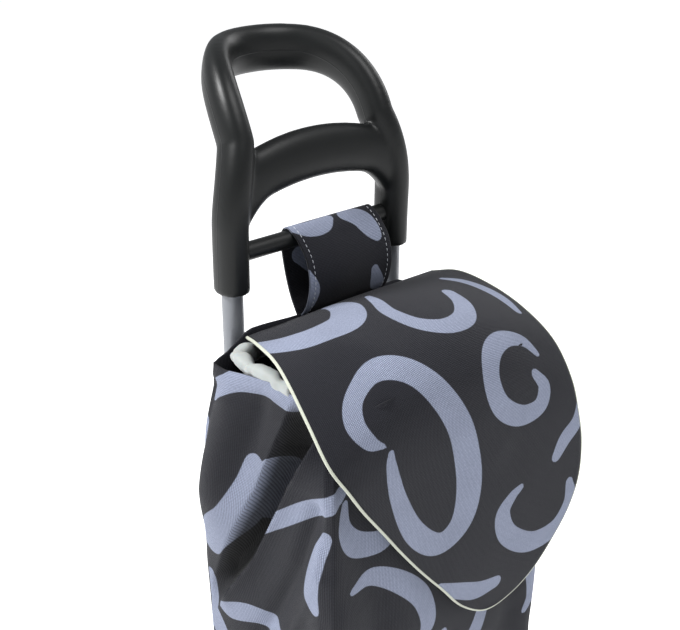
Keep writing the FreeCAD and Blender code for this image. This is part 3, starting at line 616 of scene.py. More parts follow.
def woven(name, dark, light):
    """
    Woven polyester: a pale print on dark cloth, basket weave in relief, and a dry sheen. The
    colour has painted shade between the threads and painted sheen on their tops, drifts a little,
    and is almost black with painted shade inside a pleat.
    """
    material, tree, shader = new_finish(
        name, Roughness=0.8, Sheen_Weight=0.06, Sheen_Roughness=0.45, Specular_IOR_Level=0.28
    )
    depth = add(tree, "ShaderNodeAttribute", attribute_name="print").outputs["Fac"]
    painted_pleat_shade = add(tree, "ShaderNodeAttribute", attribute_name="painted_pleat_shade").outputs["Fac"]
    place = add(tree, "ShaderNodeUVMap", uv_map="cloth").outputs["UV"]
    flat = add(tree, "ShaderNodeSeparateXYZ", {"Vector": place})
    waves = []
    for axis in ("X", "Y"):
        along = maths(tree, "MULTIPLY", flat.outputs[axis], math.pi / WEAVE)
        waves.append(maths(tree, "ABSOLUTE", maths(tree, "SINE", along)))
    relief = maths(tree, "MULTIPLY", *waves)
    dyed = two_tone(tree, graded(tree, depth, start=PRINT_EDGE, smooth=True), dark, light)
    fleck = graded(tree, noise(tree, place, 420, 2), end=(0.8, 1.25))
    fade = graded(tree, noise(tree, place, 22, 5), end=(0.86, 1.14))
    # Painted shade: inside the pleat's valley the colour drops to 0.14 of itself.
    pleat_shade_dimming = graded(tree, painted_pleat_shade, end=(1.0, 0.14))
    mottle_and_pleat_shade = maths(tree, "MULTIPLY", maths(tree, "MULTIPLY", fleck, pleat_shade_dimming), fade)
    # Painted shade between the threads and painted sheen on their tops: the colour follows the weave's
    # relief.
    shade = maths(tree, "MULTIPLY_ADD", relief, 0.85, 0.42)
    level = maths(tree, "MULTIPLY", mottle_and_pleat_shade, shade)
    tone = add(tree, "ShaderNodeVectorMath", {0: dyed, "Scale": level}, operation="SCALE")
    tree.links.new(tone.outputs["Vector"], shader.inputs["Base Color"])
    bump = add(tree, "ShaderNodeBump", {"Height": relief, "Strength": 0.8, "Distance": 0.0005})
    tree.links.new(bump.outputs["Normal"], shader.inputs["Normal"])
    return material


def cloth_thick(piece, thickness, inward=-1):
    """Gives a sheet its thickness on its inner side."""
    solid = piece.modifiers.new("cloth", "SOLIDIFY")
    solid.thickness = thickness
    solid.offset = inward


# The shell's plan is a rounded box: its two sides, front and back are runs of points joined by
# quarter rounds, and each row of the shell is that plan at one height.
rows = 150
height = np.linspace(0, 1, rows)
z_flat = BAG_LOW + (BAG_HIGH - BAG_LOW) * height
quarter = np.linspace(0, math.pi / 2, 8)[1:-1]


def straight(start, end, count):
    """Evenly spaced (x, y) points from start to end."""
    share = np.linspace(0, 1, count)[:, None]
    return np.array(start) * (1 - share) + np.array(end) * share


left = straight((-BAG_HALF, BAG_BACK - CORNER), (-BAG_HALF, BAG_FRONT + CORNER), count=94)
front = straight((CORNER - BAG_HALF, BAG_FRONT), (BAG_HALF - CORNER, BAG_FRONT), count=76)
right = straight((BAG_HALF, BAG_FRONT + CORNER), (BAG_HALF, BAG_BACK - CORNER), count=52)
back = straight((BAG_HALF - CORNER, BAG_BACK), (CORNER - BAG_HALF, BAG_BACK), count=56)
turns = []
for cx, cy, start in ((-1, -1, math.pi), (1, -1, 1.5 * math.pi), (1, 1, 0), (-1, 1, 0.5 * math.pi)):
    centre_x = cx * (BAG_HALF - CORNER)
    centre_y = BAG_FRONT + CORNER if cy < 0 else BAG_BACK - CORNER
    round_x = centre_x + CORNER * np.cos(start + quarter)
    round_y = centre_y + CORNER * np.sin(start + quarter)
    turns.append(np.stack([round_x, round_y], -1))
plan = np.concatenate([left, turns[0], front, turns[1], right, turns[2], back, turns[3]])
run = np.roll(plan, -1, 0) - np.roll(plan, 1, 0)
outward = unit(np.stack([run[:, 1], -run[:, 0]], -1))
girth = lengths_along(np.concatenate([plan, plan[:1]]))

x0 = np.broadcast_to(plan[:, 0], (rows, len(plan)))
y0 = np.broadcast_to(plan[:, 1], (rows, len(plan)))
z0 = np.broadcast_to(z_flat[:, None], x0.shape)
is_left = ramp(-x0, BAG_HALF - CORNER, BAG_HALF)
is_right = ramp(x0, BAG_HALF - CORNER, BAG_HALF)
is_front = ramp(y0, BAG_FRONT + CORNER, BAG_FRONT)
is_back = ramp(y0, BAG_BACK - CORNER, BAG_BACK)
middle_y = 1 - ((y0 - BAG_MIDDLE) / BAG_DEEP) ** 2
middle_x = 1 - (x0 / BAG_HALF) ** 2
fall = ramp(z0, BAG_LOW, BAG_LOW + 0.05) * ramp(z0, BAG_HIGH, BAG_HIGH - 0.03)

# Gusset folds: a deep valley runs down and back from the mouth with a sharp ridge in front of
# it, the back half swells, and smaller creases follow the same pull. Each line is (y, z) in
# millimetres, with its height and spread in metres.
RIDGE = (
    (45, 280), (27, 314), (-9, 377), (-41, 435), (-74, 501), (-100, 555), (-134, 614), (-146, 646),
)
RIDGE_SLANT = 0.88
GUSSET_FOLDS = (
    (((-132, 540), (-104, 462), (-62, 380), (-20, 310)), -0.007, 0.010),
    (((-142, 500), (-118, 430), (-78, 350), (-40, 290)), 0.005, 0.010),
    (((-150, 470), (-132, 400), (-100, 320), (-70, 260)), 0.006, 0.015),
    (((-52, 640), (-44, 600), (-30, 550), (-18, 500)), -0.005, 0.013),
    (((-8, 640), (-10, 590), (4, 520), (20, 450)), 0.005, 0.018),
    (((22, 620), (24, 560), (28, 480), (30, 400)), -0.007, 0.009),
    (((-140, 260), (-90, 230), (-30, 200), (30, 190)), -0.006, 0.018),
    (((-120, 180), (-60, 160), (20, 150)), 0.005, 0.016),
)


def folded(y, z, folds):
    """Sum of creases: each is a ridge or valley whose height dies away with distance from it."""
    total = np.zeros(y.shape)
    for line, height_m, spread in folds:
        away, place = near_line(y, z, line)
        total += height_m * bell(away, 0, spread) * ramp(place, 1.02, 0.77)
    return total


def tucked(y, z, forward, up):
    """
    A pleat along the ridge: behind its sharp crest the cloth drops into a valley whose section
    is half a sine wave, wider and deeper towards the mouth. Gives (valley, crest, shade), all
    positive; shade is 1 inside the valley, where the cloth's colour gets painted shade.
    """
    ridge_y, ridge_z = np.array(RIDGE).T / MM_PER_METRE
    behind = (y - np.interp(z - up, ridge_z, ridge_y) - forward) * RIDGE_SLANT
    width = np.interp(z, (0.34, 0.42, 0.50, 0.56, 0.62), (0.020, 0.026, 0.033, 0.039, 0.046))
    depth = np.interp(z, (0.30, 0.38, 0.50, 0.58, 0.62), (0.0, 0.016, 0.030, 0.034, 0.020))
    at_corner = ramp(y, 0.022, -0.008)
    reach = np.clip(behind / width, 0, 1)
    rise = ramp(z, 0.30, 0.38) * np.exp(-np.abs(behind) / 0.014) * at_corner
    shade = ramp(reach, 1.02, 0.88) * ramp(behind, 0, 0.002)
    shade = shade * np.interp(z, (0.31, 0.40, 0.625, 0.640), (0, 1, 1, 0.3)) * at_corner
    return depth * at_corner * np.sin(math.pi * reach) ** 0.9, 0.012 * rise, shade


left_valley, left_crest, left_shade = tucked(y0, z0, forward=0, up=0)
right_valley, right_crest, right_shade = tucked(y0, z0, forward=0.014, up=0.02)
# Painted shade for the cloth's colour: 1 in the pleat's valley on the left side, 0.6 on the right.
painted_pleat_shade = is_left * left_shade + 0.6 * is_right * right_shade
left_push = folded(y0, z0, GUSSET_FOLDS) + left_crest - left_valley
left_push += 0.018 * bell(y0, -0.008, 0.040) * bell(z0, 0.50, 0.11)
left_push += 0.003 * ripple(y0 * 1.3, z0, 5)
right_push = 0.7 * (folded(y0 * 0.9 - 0.012, z0 - 0.01, GUSSET_FOLDS) + right_crest - right_valley)
right_push += 0.003 * ripple(y0, z0 * 1.2, 8)
right_push += 0.008 * bell(y0, -0.01, 0.05) * bell(z0, 0.42, 0.12)
clear_of_wheels = 1 - ramp(z0, 0.20, 0.16) * ramp(y0, -0.02, 0)
sides = (is_left * left_push + is_right * right_push) * clear_of_wheels
sides = sides * np.clip(middle_y * 2.6 + 0.25, 0, 1)

FRONT_FOLDS = (
    (((-150, 600), (-118, 520), (-96, 430), (-92, 330)), -0.006, 0.022),
    (((-140, 420), (-60, 380), (40, 360), (140, 400)), 0.003, 0.03),
    (((-146, 300), (-80, 260), (10, 250), (120, 300)), -0.005, 0.026),
    (((140, 520), (112, 430), (104, 330), (116, 240)), -0.006, 0.022),
    (((-120, 180), (-20, 165), (110, 190)), 0.005, 0.022),
)
front_push = folded(x0, z0, FRONT_FOLDS) + 0.0018 * ripple(x0, z0, 11)
front_push += 0.006 * middle_x * ramp(z0, 0.60, 0.30)
back_push = -0.003 + 0.0025 * ripple(x0, z0, 13) + 0.6 * folded(-x0, z0, FRONT_FOLDS)
wall = is_front * front_push + is_back * np.minimum(back_push, 0.004)
push = (sides + wall) * fall

# The mouth: the hem dips at the back of each side, and the upper corners lean in.
from_middle = np.abs(x0)
dip = 0.014 * ramp(y0, -0.06, 0.01) * ramp(from_middle, 0.10, 0.14)
lean_in = 0.010 * ramp(z0, 0.56, 0.645) ** 2 * (is_left + is_right)
push = push - lean_in * np.clip((BAG_BACK - y0) / (2 * BAG_DEEP), 0.35, 1)
corner_tuck = 0.024 * ramp(z0, 0.560, 0.645) ** 1.5
corner_tuck = corner_tuck * ramp(from_middle, 0.095, 0.145) * ramp(y0, -0.100, -0.150)
push = push - 0.012 * ramp(z0, BAG_LOW + 0.012, BAG_LOW) ** 2

# Sewn corners: the seam allowance stands up as a narrow bead along each corner, and the hem
# makes the top 16 mm a little thicker.
SEAM_INSET = 0.0035
BEAD_RISE = 0.0022
BEAD_SPREAD = 0.0028
HEM_THICKER = 0.0009
bead = np.zeros(len(plan))
for cx, cy in ((-1, BAG_FRONT), (1, BAG_FRONT), (1, BAG_BACK), (-1, BAG_BACK)):
    tip = np.array([cx * (BAG_HALF - SEAM_INSET), cy - math.copysign(SEAM_INSET, cy)])
    bead += BEAD_RISE * bell(np.linalg.norm(plan - tip, axis=1), 0, BEAD_SPREAD)
push = push + bead[None] + HEM_THICKER * (z0 > BAG_HIGH - HEM)
at_top = height[:, None] ** 8
z_shell = z0 - dip * height[:, None] ** 6
z_shell = z_shell + 0.004 * ripple(x0 * 1.4, y0 * 1.4, 3) * at_top
z_shell = z_shell + 0.006 * ramp(y0, 0.022, 0.032) * ramp(from_middle, 0.128, 0.108) * at_top

# Between the upright and the corner, the back of each side billows out and to the rear.
billow = ramp(from_middle, 0.112, 0.142) * ramp(y0, -0.045, 0.025)
billow = billow * bell(z0, 0.40, 0.20, 4) * (1 - 0.35 * (x0 > 0))
shell_points = np.stack(
    [
        x0 + outward[None, :, 0] * push + np.sign(x0) * (0.012 * billow - corner_tuck),
        y0 + outward[None, :, 1] * push + 0.014 * billow + corner_tuck,
        z_shell - 0.5 * corner_tuck,
    ],
    axis=-1,
)
cloth_u = np.broadcast_to(girth[None], (rows, len(plan) + 1))
cloth_v = np.broadcast_to((BAG_HIGH - z_flat)[:, None], cloth_u.shape)

# Printed strokes, as (u, v, half width) in millimetres: u runs round the bag from the back of
# its left side, v down from the hem.
SIDE_STROKES = (
    ((-2, 34, 10), (14, 18, 12), (40, 6, 13), (80, 4, 13), (112, 8, 10)),
    ((66, 94, 13), (57, 126, 13), (44, 160, 15), (24, 188, 17), (14, 210, 14)),
    ((86, 90, 11), (78, 124, 12), (68, 156, 11), (100, 138, 9), (142, 106, 9), (180, 84, 9),
     (188, 78, 6)),
    ((168, 124, 6), (158, 152, 10), (152, 186, 12), (156, 208, 8)),
    ((30, 290, 12), (60, 280, 13), (96, 296, 12), (104, 332, 12), (76, 358, 9), (50, 348, 4)),
    ((4, 258, 5), (0, 290, 9), (10, 330, 11), (26, 362, 8)),
    ((150, 262, 5), (140, 300, 11), (150, 340, 13), (178, 352, 10), (186, 332, 4)),
    ((20, 400, 8), (40, 440, 12), (84, 452, 12), (120, 430, 9), (126, 408, 4)),
    ((150, 400, 12), (156, 402, 13)),
    ((150, 470, 5), (166, 500, 10), (160, 530, 8)),
    ((20, 500, 10), (60, 510, 9), (90, 500, 4)),
)
FRONT_STROKES = (
    ((212, 18, 4), (226, 46, 10), (256, 58, 12), (284, 42, 8)),
    ((330, 64, 4), (352, 40, 10), (384, 34, 12), (410, 54, 9), (416, 78, 4)),
    ((440, 22, 5), (462, 44, 10), (470, 74, 8)),
    ((300, 150, 4), (322, 128, 10), (356, 132, 12), (372, 160, 11), (356, 188, 6)),
    ((404, 130, 5), (398, 162, 10), (420, 190, 12), (448, 184, 8)),
    ((192, 92, 3), (190, 120, 9), (204, 142, 13), (230, 150, 13), (252, 136, 6)),
    ((196, 190, 4), (224, 188, 10), (256, 208, 12), (284, 240, 12), (292, 276, 10), (276, 296, 6)),
    ((210, 250, 4), (204, 280, 10), (222, 312, 13), (256, 316, 12), (268, 296, 5)),
    ((316, 300, 5), (314, 330, 11), (336, 350, 13), (366, 330, 12), (376, 296, 9), (370, 280, 4)),
    ((400, 250, 4), (430, 262, 10), (458, 288, 11), (466, 330, 9), (456, 352, 4)),
    ((470, 120, 6), (466, 150, 11), (474, 182, 9), (486, 196, 4)),
    ((214, 360, 5), (210, 392, 12), (236, 416, 13), (266, 408, 10), (272, 388, 4)),
    ((330, 400, 4), (372, 392, 11), (408, 408, 13), (414, 444, 12), (388, 466, 8), (372, 456, 3)),
    ((440, 390, 5), (470, 404, 11), (474, 440, 12), (450, 462, 8)),
    ((230, 480, 6), (262, 462, 11), (300, 480, 12), (304, 514, 9), (284, 522, 4)),
    ((350, 505, 10), (354, 507, 11)),
    ((420, 510, 4), (452, 500, 10), (480, 514, 9)),
)
BACK_STROKES = (
    ((696, 24, 4), (712, 46, 10), (742, 56, 12), (772, 44, 10), (782, 24, 5)),
    ((822, 100, 5), (812, 68, 10), (828, 42, 12), (860, 36, 11), (884, 54, 6)),
    ((736, 112, 4), (762, 98, 9), (790, 108, 10), (800, 132, 5)),
    ((904, 92, 8), (908, 96, 9)),
)


def moved(strokes, by_u, by_v=0, flip=False):
    """The same strokes further along the cloth, or turned over left to right."""
    sign = -1 if flip else 1
    return tuple(tuple((sign * u + by_u, v + by_v, half) for u, v, half in s) for s in strokes)


shell_strokes = (
    SIDE_STROKES + FRONT_STROKES + BACK_STROKES
    + moved(SIDE_STROKES, by_u=486 + 196, by_v=6, flip=True)
    + moved(FRONT_STROKES, by_u=486, by_v=34)
)
shell_print = swirl_print(cloth_u[:, :-1], cloth_v[:, :-1], shell_strokes)
bag = grid_mesh(
    "bag_shell", shell_points, wraps=True,
    cloth_uv=np.stack([cloth_u, cloth_v], -1),
    values={"print": shell_print, "painted_pleat_shade": np.clip(painted_pleat_shade, 0, 1)},
)
bag_cloth = woven("bag_cloth", NAVY, SWIRL_BLUE)
bag.data.materials.append(bag_cloth)
cloth_thick(bag, CLOTH)
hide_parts("bag_front", "bag_back", "bag_gusset_left", "bag_gusset_right")
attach(bag, "trolley")

# Floor panel: a rounded box of cloth on the deck's wires, a little uneven.
FLOOR_INSET = 0.010
FLOOR_ROUND = 0.03
u, v = np.meshgrid(np.linspace(-1, 1, 60), np.linspace(-1, 1, 40), indexing="xy")
floor_x = (BAG_HALF - FLOOR_INSET) * u * np.sqrt(1 - FLOOR_ROUND * v**8)
floor_y = BAG_MIDDLE + (BAG_DEEP - FLOOR_INSET) * v * np.sqrt(1 - FLOOR_ROUND * u**8)
floor_z = BAG_LOW + 0.0005 + 0.0006 * ripple(floor_x, floor_y, 21)
bag_floor = grid_mesh(
    "bag_floor", np.stack([floor_x, floor_y, floor_z], -1),
    cloth_uv=np.stack([floor_x, floor_y], -1), values={"print": 0 * floor_x + UNPRINTED},
)
bag_floor.data.materials.append(bag_cloth)
cloth_thick(bag_floor, CLOTH, 1)
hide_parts("bag_bottom")
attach(bag_floor, "trolley")


# ------------------------ gathered collar
# A tube of thin pale nylon sewn inside the hem. It puffs out in soft lobes and draws in towards
# its open top, under the flap.

NYLON = (0.37, 0.375, 0.36, 1)
NYLON_THICK = 0.0008
COLLAR_SQUARE = 0.32
COLLAR_LOW = 0.626
ROLL_SIZE = 0.0052

dense = np.linspace(0, 2 * math.pi, 20001)
square_x = squared_off(np.cos(dense), COLLAR_SQUARE)
square_y = squared_off(np.sin(dense), COLLAR_SQUARE)
arc = lengths_along(np.stack([square_x * BAG_HALF, square_y * BAG_DEEP], -1))
share = np.linspace(0, 1, 520, endpoint=False)
plan_x = np.interp(share * arc[-1], arc, square_x)[None]
plan_y = np.interp(share * arc[-1], arc, square_y)[None]
turn, up = np.meshgrid(2 * math.pi * share, np.linspace(0, 1, 34), indexing="xy")
ring_y = plan_y * BAG_DEEP + BAG_MIDDLE

# It shows at the two sides and is pressed down under the flap in front. Its upper part rolls
# over in lobes, and fine gathers run up it.
shown = ramp(ring_y, -0.118, -0.088) * ramp(np.abs(plan_x), 0.62, 0.92)
pressed = ramp(ring_y, -0.088, -0.118)
roll = 1.25 * math.pi * ramp(up, 0.35, 1)
lobes = (0.06 + np.sin(turn * 12 + 0.9 * np.sin(turn * 5 + 0.6)) ** 2) ** 0.25
roll_size = ROLL_SIZE * (1 + 0.45 * shown) * (0.55 + 0.5 * lobes)
gather = 0.6 * np.sin(turn * 41 + 1.3 * np.sin(turn * 9))
gather = gather + 0.4 * np.sin(turn * 67 + 2 * np.sin(turn * 7))
inset = 0.0045 + roll_size * (1 - np.cos(roll)) + 0.0009 * gather * ramp(up, 0, 0.5)
over_hem = 0.0045 * np.clip(np.sin(2 * np.clip(roll, 0, math.pi / 2)), 0, 1) * shown * (lobes - 0.4)
inset = inset - over_hem + 0.036 * pressed + 0.010 * ramp(up, 0.35, 0)
collar_x = (BAG_HALF - inset - 0.006 * (1 - shown)) * plan_x
collar_y = BAG_MIDDLE + (BAG_DEEP - inset) * plan_y
skirt = (0.006 + 0.010 * shown) * ramp(up, 0, 0.35)
collar_z = COLLAR_LOW + skirt + roll_size * 1.5 * np.sin(roll) - 0.020 * pressed
dip_back = ramp(ring_y, -0.06, 0.01) * shown
uneven = 0.003 * (lobes - 0.8) - 0.004 * dip_back
collar_z = collar_z + uneven * np.clip(up * 1.4, 0, 1) * (1 - pressed)
collar = grid_mesh("gathered_collar", np.stack([collar_x, collar_y, collar_z], -1), wraps=True)
thin_nylon = grained(
    "thin_nylon", NYLON, spread=0.12, grain=1400, height=0.0001, rough=0.6, rough_spread=0.06,
    Sheen_Weight=0.3, Sheen_Roughness=0.4, Subsurface_Weight=0.1,
)
collar.data.materials.append(thin_nylon)
cloth_thick(collar, NYLON_THICK)
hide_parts("drawstring_collar")
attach(collar, "trolley")


# ------------------------ hanging loop
# A wide strap of the bag's cloth, sewn to the mouth's back edge and wrapped over the cross rod.
# Its two long edges are turned in and topstitched in pale thread.

THREAD = (0.52, 0.54, 0.58, 1)
LOOP_X = (-0.036, 0.076)
LOOP_WIDTH = 0.112
LOOP_THICK = 0.0022
LOOP_PATH = (
    (0.0345, 0.6445), (0.022, 0.662), (0.0155, 0.688), (0.020, 0.712), (0.0330, 0.7285),
    (0.0435, 0.7365), (0.0535, 0.7398), (0.0610, 0.7345), (0.0635, 0.7250), (0.0620, 0.7100),
    (0.0560, 0.6850), (0.0480, 0.6640), (0.0365, 0.6445),
)


def strap_points(x, along):
    """The strap's surface: its side view carried across, with a slight bow and a ripple of slack."""
    path = through(LOOP_PATH, 400)
    run = lengths_along(path)
    y = np.interp(along, run / run[-1], path[:, 0])
    z = np.interp(along, run / run[-1], path[:, 1])
    bow = 0.0015 * np.sin(math.pi * along * 2) * np.sin((x - LOOP_X[0]) / LOOP_WIDTH * math.pi)
    slack = 0.0015 * bell(along, 0.22, 0.16) * np.cos(x * 60)
    return np.stack([x + 0 * along, y - bow - slack, z], -1), run[-1]


across = np.concatenate([
    np.linspace(0, 0.012, 12), np.linspace(0.014, 0.098, 34), np.linspace(0.100, LOOP_WIDTH, 12),
])
along = np.linspace(0, 1, 150)
grid_x, grid_t = np.meshgrid(LOOP_X[0] + across, along, indexing="xy")
strap_grid, strap_length = strap_points(grid_x, grid_t)
LOOP_STROKES = (
    ((2, 116, 7), (18, 108, 10), (38, 108, 10), (52, 114, 5)),
    ((72, 112, 8), (86, 104, 13), (92, 90, 12), (96, 80, 7)),
    ((0, 10, 5), (4, 40, 8), (-2, 62, 4)),
    ((104, 14, 4), (96, 24, 9), (88, 44, 5)),
    ((90, 150, 8), (104, 170, 12), (96, 190, 9)),
    ((20, 160, 9), (44, 178, 10), (66, 170, 8)),
)
strap_u = grid_x - LOOP_X[0]
strap_v = grid_t * strap_length
strap = grid_mesh(
    "hanging_loop_strap", strap_grid,
    cloth_uv=np.stack([strap_u, strap_v], -1),
    values={"print": swirl_print(strap_u, strap_v, LOOP_STROKES)},
)
strap.data.materials.append(bag_cloth)
cloth_thick(strap, LOOP_THICK, 0)
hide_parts("hanging_loop")

# A stitch's (place along it, thickness, lift) as shares of its length, thickness and half of it.
STITCH_SHAPE = ((0, 0.02, -1.0), (0.12, 0.8, 0.1), (0.5, 1, 0.45), (0.88, 0.8, 0.1), (1, 0.02, -1.0))
STITCH_SIDES = 6
STITCH_LENGTH = 0.0040
STITCH_PITCH = 0.0058
STITCH_THICK = 0.0008
STITCH_INSET = 0.0062


def stitches(name, starts, ends, up, thick):
    """
    A row of stitches as one mesh: each is a six-sided bar from its start to its end that swells
    in the middle and dips into the cloth at both ends.
    """
    bar = ends - starts
    beside = unit(np.cross(bar, up))
    turn = np.linspace(0, 2 * math.pi, STITCH_SIDES, endpoint=False)
    rings = []
    for share, size, lift in STITCH_SHAPE:
        centre = starts + bar * share + up * thick * lift * 0.5
        ring = (
            centre[:, None]
            + beside[:, None] * (np.cos(turn) * size * thick / 2)[None, :, None]
            + up[:, None] * (np.sin(turn) * size * thick / 2)[None, :, None]
        )
        rings.append(ring)
    index = np.arange(len(starts) * len(rings) * STITCH_SIDES)
    index = index.reshape(len(starts), len(rings), STITCH_SIDES)
    beyond = np.roll(index, -1, axis=2)
    flanks = np.stack([index[:, :-1], beyond[:, :-1], beyond[:, 1:], index[:, 1:]], -1).reshape(-1, 4)
    faces = flanks.tolist() + index[:, 0, ::-1].tolist() + index[:, -1].tolist()
    mesh = bpy.data.meshes.new(name)
    mesh.from_pydata(np.stack(rings, axis=1).reshape(-1, 3).tolist(), [], faces)
    piece = placed(name, mesh)
    weld(piece)
    return piece


pale_thread = grained(
    "pale_thread", THREAD, spread=0.1, grain=2500, height=0.0001, rough=0.6, rough_spread=0.06,
    Sheen_Weight=0.2,
)
first = np.arange(0.03, 0.97, STITCH_PITCH / strap_length)
last = first + STITCH_LENGTH / strap_length
seam_starts, seam_ends, seam_up = [], [], []
for x in (LOOP_X[0] + STITCH_INSET, LOOP_X[1] - STITCH_INSET):
    start, _ = strap_points(np.full(len(first), x), first)
    end, _ = strap_points(np.full(len(first), x), last)
    run = end - start
    normal = unit(np.stack([0 * run[:, 0], -run[:, 2], run[:, 1]], -1))
    seam_starts.append(start + normal * LOOP_THICK / 2)
    seam_ends.append(end + normal * LOOP_THICK / 2)
    seam_up.append(normal)
loop_stitches = stitches(
    "loop_topstitch", np.concatenate(seam_starts), np.concatenate(seam_ends),
    np.concatenate(seam_up), STITCH_THICK,
)
loop_stitches.data.materials.append(pale_thread)
for piece in (strap, loop_stitches):
    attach(piece, "trolley")
    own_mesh(piece)


# ------------------------ flap
# The lid: a shield of doubled bag cloth sewn on behind the mouth. It crowns over the collar,
# wraps the front's upper corners and hangs to a round tip. Its free edge is bound in cream piping.

CREAM = (0.50, 0.52, 0.43, 1)
FLAP_THICK = 0.0020
PIPING_RADIUS = 0.0017
PIPING_SIDES = 14
PIPING_POINTS = 420
RIB_PITCH = 0.0012
FLAP_EDGE = (
    (-0.1085, 0.0255, 0.6480), (-0.1240, -0.0130, 0.6600), (-0.1390, -0.0600, 0.6660),
    (-0.1500, -0.0960, 0.6600), (-0.1560, -0.1310, 0.6370), (-0.1560, -0.1590, 0.6070),
    (-0.1410, -0.1680, 0.5790), (-0.1235, -0.1690, 0.5510), (-0.0990, -0.1690, 0.5170),
    (-0.0755, -0.1690, 0.4840), (-0.0480, -0.1690, 0.4480), (-0.0180, -0.1700, 0.4120),
    (0.0120, -0.1710, 0.3760), (0.0480, -0.1720, 0.3530), (0.0850, -0.1740, 0.3580),
    (0.1130, -0.1790, 0.3800), (0.1350, -0.1840, 0.4120), (0.1530, -0.1870, 0.4430),
    (0.1640, -0.1880, 0.4780), (0.1650, -0.1870, 0.5180), (0.1590, -0.1840, 0.5560),
    (0.1550, -0.1740, 0.5930), (0.1550, -0.1480, 0.6260), (0.1540, -0.1100, 0.6470),
    (0.1530, -0.0650, 0.6590), (0.1510, -0.0150, 0.6620), (0.1480, 0.0255, 0.6500),
)
FLAP_MIDDLE = (
    (0.0200, 0.0255, 0.6500), (0.0160, -0.0080, 0.6700), (0.0100, -0.0500, 0.6830),
    (0.0040, -0.0950, 0.6850), (0.0000, -0.1350, 0.6740), (-0.0020, -0.1640, 0.6480),
    (0.0040, -0.1760, 0.6080), (0.0120, -0.1780, 0.5600), (0.0220, -0.1780, 0.5100),
    (0.0340, -0.1770, 0.4600), (0.0440, -0.1760, 0.4100), (0.0510, -0.1740, 0.3750),
    (0.0560, -0.1722, 0.3535),
)
FLAP_CREASE = ((-90, 120), (-30, 230), (40, 300))
flap_rows, flap_columns = 130, 101
edge_line = through(FLAP_EDGE, 1201)
edge_run = lengths_along(edge_line)
tip_at = edge_run[np.argmin(np.abs(edge_line - np.array(FLAP_MIDDLE[-1])).sum(1))]


def read_off(at, run, line):
    """The points of a line at given lengths along it."""
    return np.stack([np.interp(at, run, line[:, k]) for k in range(3)], -1)


def outline(share, side):
    """Points down the flap's left or right edge: share 0 is the seam and 1 is the tip."""
    at = share * tip_at if side == "left" else edge_run[-1] - share * (edge_run[-1] - tip_at)
    return read_off(at, edge_run, edge_line)


# Each row of the flap is a parabola from the left edge through the spine to the right edge.
down = np.linspace(0, 1, flap_rows)
left_edge, right_edge = outline(down, "left"), outline(down, "right")
spine = through(FLAP_MIDDLE, 801)
spine_run = lengths_along(spine)
spine = read_off(down * spine_run[-1], spine_run, spine)
a = np.linspace(-1, 1, flap_columns)[None, :, None]
bent = (left_edge + right_edge)[:, None] / 2 - spine[:, None]
flap_grid = spine[:, None] + a * (right_edge - left_edge)[:, None] / 2 + a**2 * bent
flap_x, flap_y, flap_z = np.moveaxis(flap_grid, -1, 0)

# Cloth coordinates: v follows the spine over the top, and the drop in height down the front.
top_v = np.broadcast_to((down * spine_run[-1])[:, None], flap_x.shape)
knee = np.argmin(np.abs(spine[:, 2] - 0.60) + (spine[:, 1] > -0.1))
front_v = down[knee] * spine_run[-1] + (spine[knee, 2] - flap_z)
hand_over = ramp(flap_z, 0.66, 0.57) * ramp(flap_y, -0.10, -0.15)
flap_u = flap_x
flap_v = top_v * (1 - hand_over) + front_v * hand_over

# The cloth is a little uneven, with one soft crease, and lies as drawn at its seam and edges.
free = np.minimum(1, 4 * (1 - np.abs(a[..., 0]))) * np.clip(down[:, None] * 12, 0, 1)
crease = bell(near_line(flap_u, flap_v, FLAP_CREASE)[0], 0, 0.02)
sway = (0.0016 * ripple(flap_u, flap_v, 17) + 0.0022 * crease) * free
run_down, run_across = np.gradient(flap_grid, axis=0), np.gradient(flap_grid, axis=1)
flap_normal = unit(np.cross(run_down, run_across))
flap_grid[1:-1] = (flap_grid + flap_normal * sway[..., None])[1:-1]

FLAP_STROKES = (
    ((-136, 40, 11), (-118, 72, 15), (-92, 94, 18), (-58, 98, 19), (-36, 74, 16), (-28, 46, 11),
     (-30, 38, 8)),
    ((4, 60, 3), (-6, 86, 6), (-16, 116, 8), (-8, 146, 9), (16, 162, 10), (44, 158, 11),
     (64, 136, 10), (72, 108, 7)),
    ((-100, 240, 2), (-114, 228, 7), (-122, 203, 9), (-112, 178, 10), (-84, 167, 11),
     (-56, 183, 12), (-32, 220, 13),
     (-10, 267, 14), (4, 326, 16), (-2, 372, 15), (-30, 388, 13), (-62, 360, 12), (-86, 308, 9),
      (-94, 268, 6),
     (-94, 250, 3)),
    ((112, 212, 4), (98, 194, 8), (72, 190, 10), (46, 202, 11), (34, 226, 11), (42, 256, 12),
     (70, 276, 12),
     (98, 274, 11), (108, 252, 9), (98, 234, 6)),
    ((164, 292, 5), (156, 314, 9), (138, 328, 10), (126, 344, 7)),
    ((150, 384, 5), (154, 412, 10), (136, 438, 12), (100, 442, 13), (66, 418, 12), (54, 388, 10),
     (64, 370, 7), (76, 362, 4)),
    ((-24, 448, 8), (4, 462, 10), (30, 474, 11), (56, 476, 8)),
    ((104, 66, 4), (122, 84, 8), (134, 116, 9), (134, 146, 5)),
)
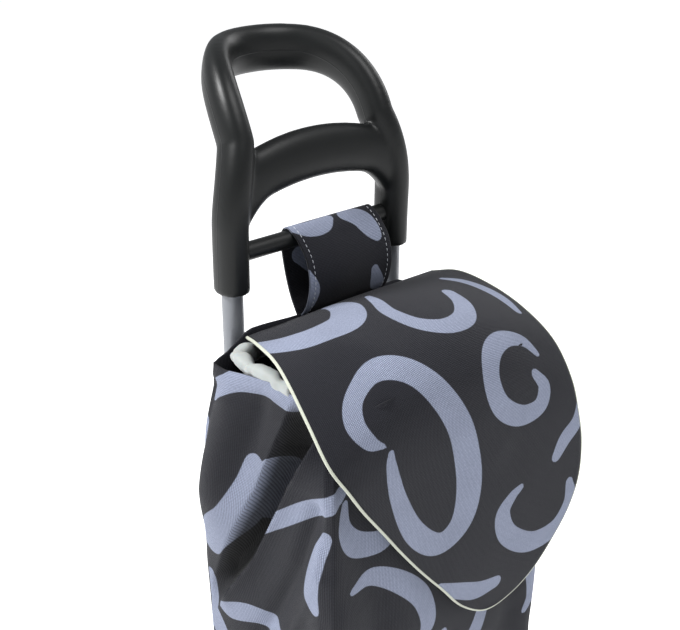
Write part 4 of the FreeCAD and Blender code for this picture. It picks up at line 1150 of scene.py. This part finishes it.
flap = grid_mesh(
    "flap_cloth", flap_grid,
    cloth_uv=np.stack([flap_u, flap_v], -1),
    values={"print": swirl_print(flap_u, flap_v, FLAP_STROKES)},
)
weld(flap, outward=False)
flap.data.materials.append(bag_cloth)
cloth_thick(flap, FLAP_THICK)
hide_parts("flap")
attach(flap, "flap")

# The piping is a round tube carried along the flap's free edge, half sunk on it.
around = read_off(np.linspace(0, edge_run[-1], PIPING_POINTS), edge_run, edge_line)
tangent = unit(np.gradient(around, axis=0))
to_flap = spine[np.linspace(0, flap_rows - 1, PIPING_POINTS).astype(int)].mean(axis=0) - around
first_side = unit(to_flap - tangent * (to_flap * tangent).sum(1, keepdims=True))
second_side = np.cross(tangent, first_side)
turn = np.linspace(0, 2 * math.pi, PIPING_SIDES, endpoint=False)[None, :, None]
centre = around - first_side * PIPING_RADIUS * 0.55
spoke = first_side[:, None] * np.cos(turn) + second_side[:, None] * np.sin(turn)
tube = centre[:, None] + PIPING_RADIUS * spoke
tips = [np.repeat(centre[[i]], PIPING_SIDES, 0)[None] for i in (0, -1)]
tube = np.concatenate([tips[0], tube, tips[1]])
length_v = np.linspace(0, edge_run[-1], PIPING_POINTS + 2)
turn_u = np.linspace(0, 0.0132, PIPING_SIDES + 1)
tape_uv = np.stack(np.meshgrid(turn_u, length_v, indexing="xy"), -1)
piping = grid_mesh("flap_edge_piping", tube, wraps=True, cloth_uv=tape_uv)
weld(piping)
cream_tape = grained(
    "cream_tape", CREAM, spread=0.08, grain=900, height=0.0001, rough=0.58, rough_spread=0.05,
    Sheen_Weight=0.2, Sheen_Roughness=0.4,
)
tree = cream_tape.node_tree
tape_place = add(tree, "ShaderNodeUVMap", uv_map="cloth").outputs["UV"]
along_tape = add(tree, "ShaderNodeSeparateXYZ", {"Vector": tape_place}).outputs["Y"]
ribs = maths(tree, "SINE", maths(tree, "MULTIPLY", along_tape, 2 * math.pi / RIB_PITCH))
over_grain(cream_tape, ribs, strength=0.4, distance=0.0001)
piping.data.materials.append(cream_tape)
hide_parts("flap_piping")
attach(piping, "flap")
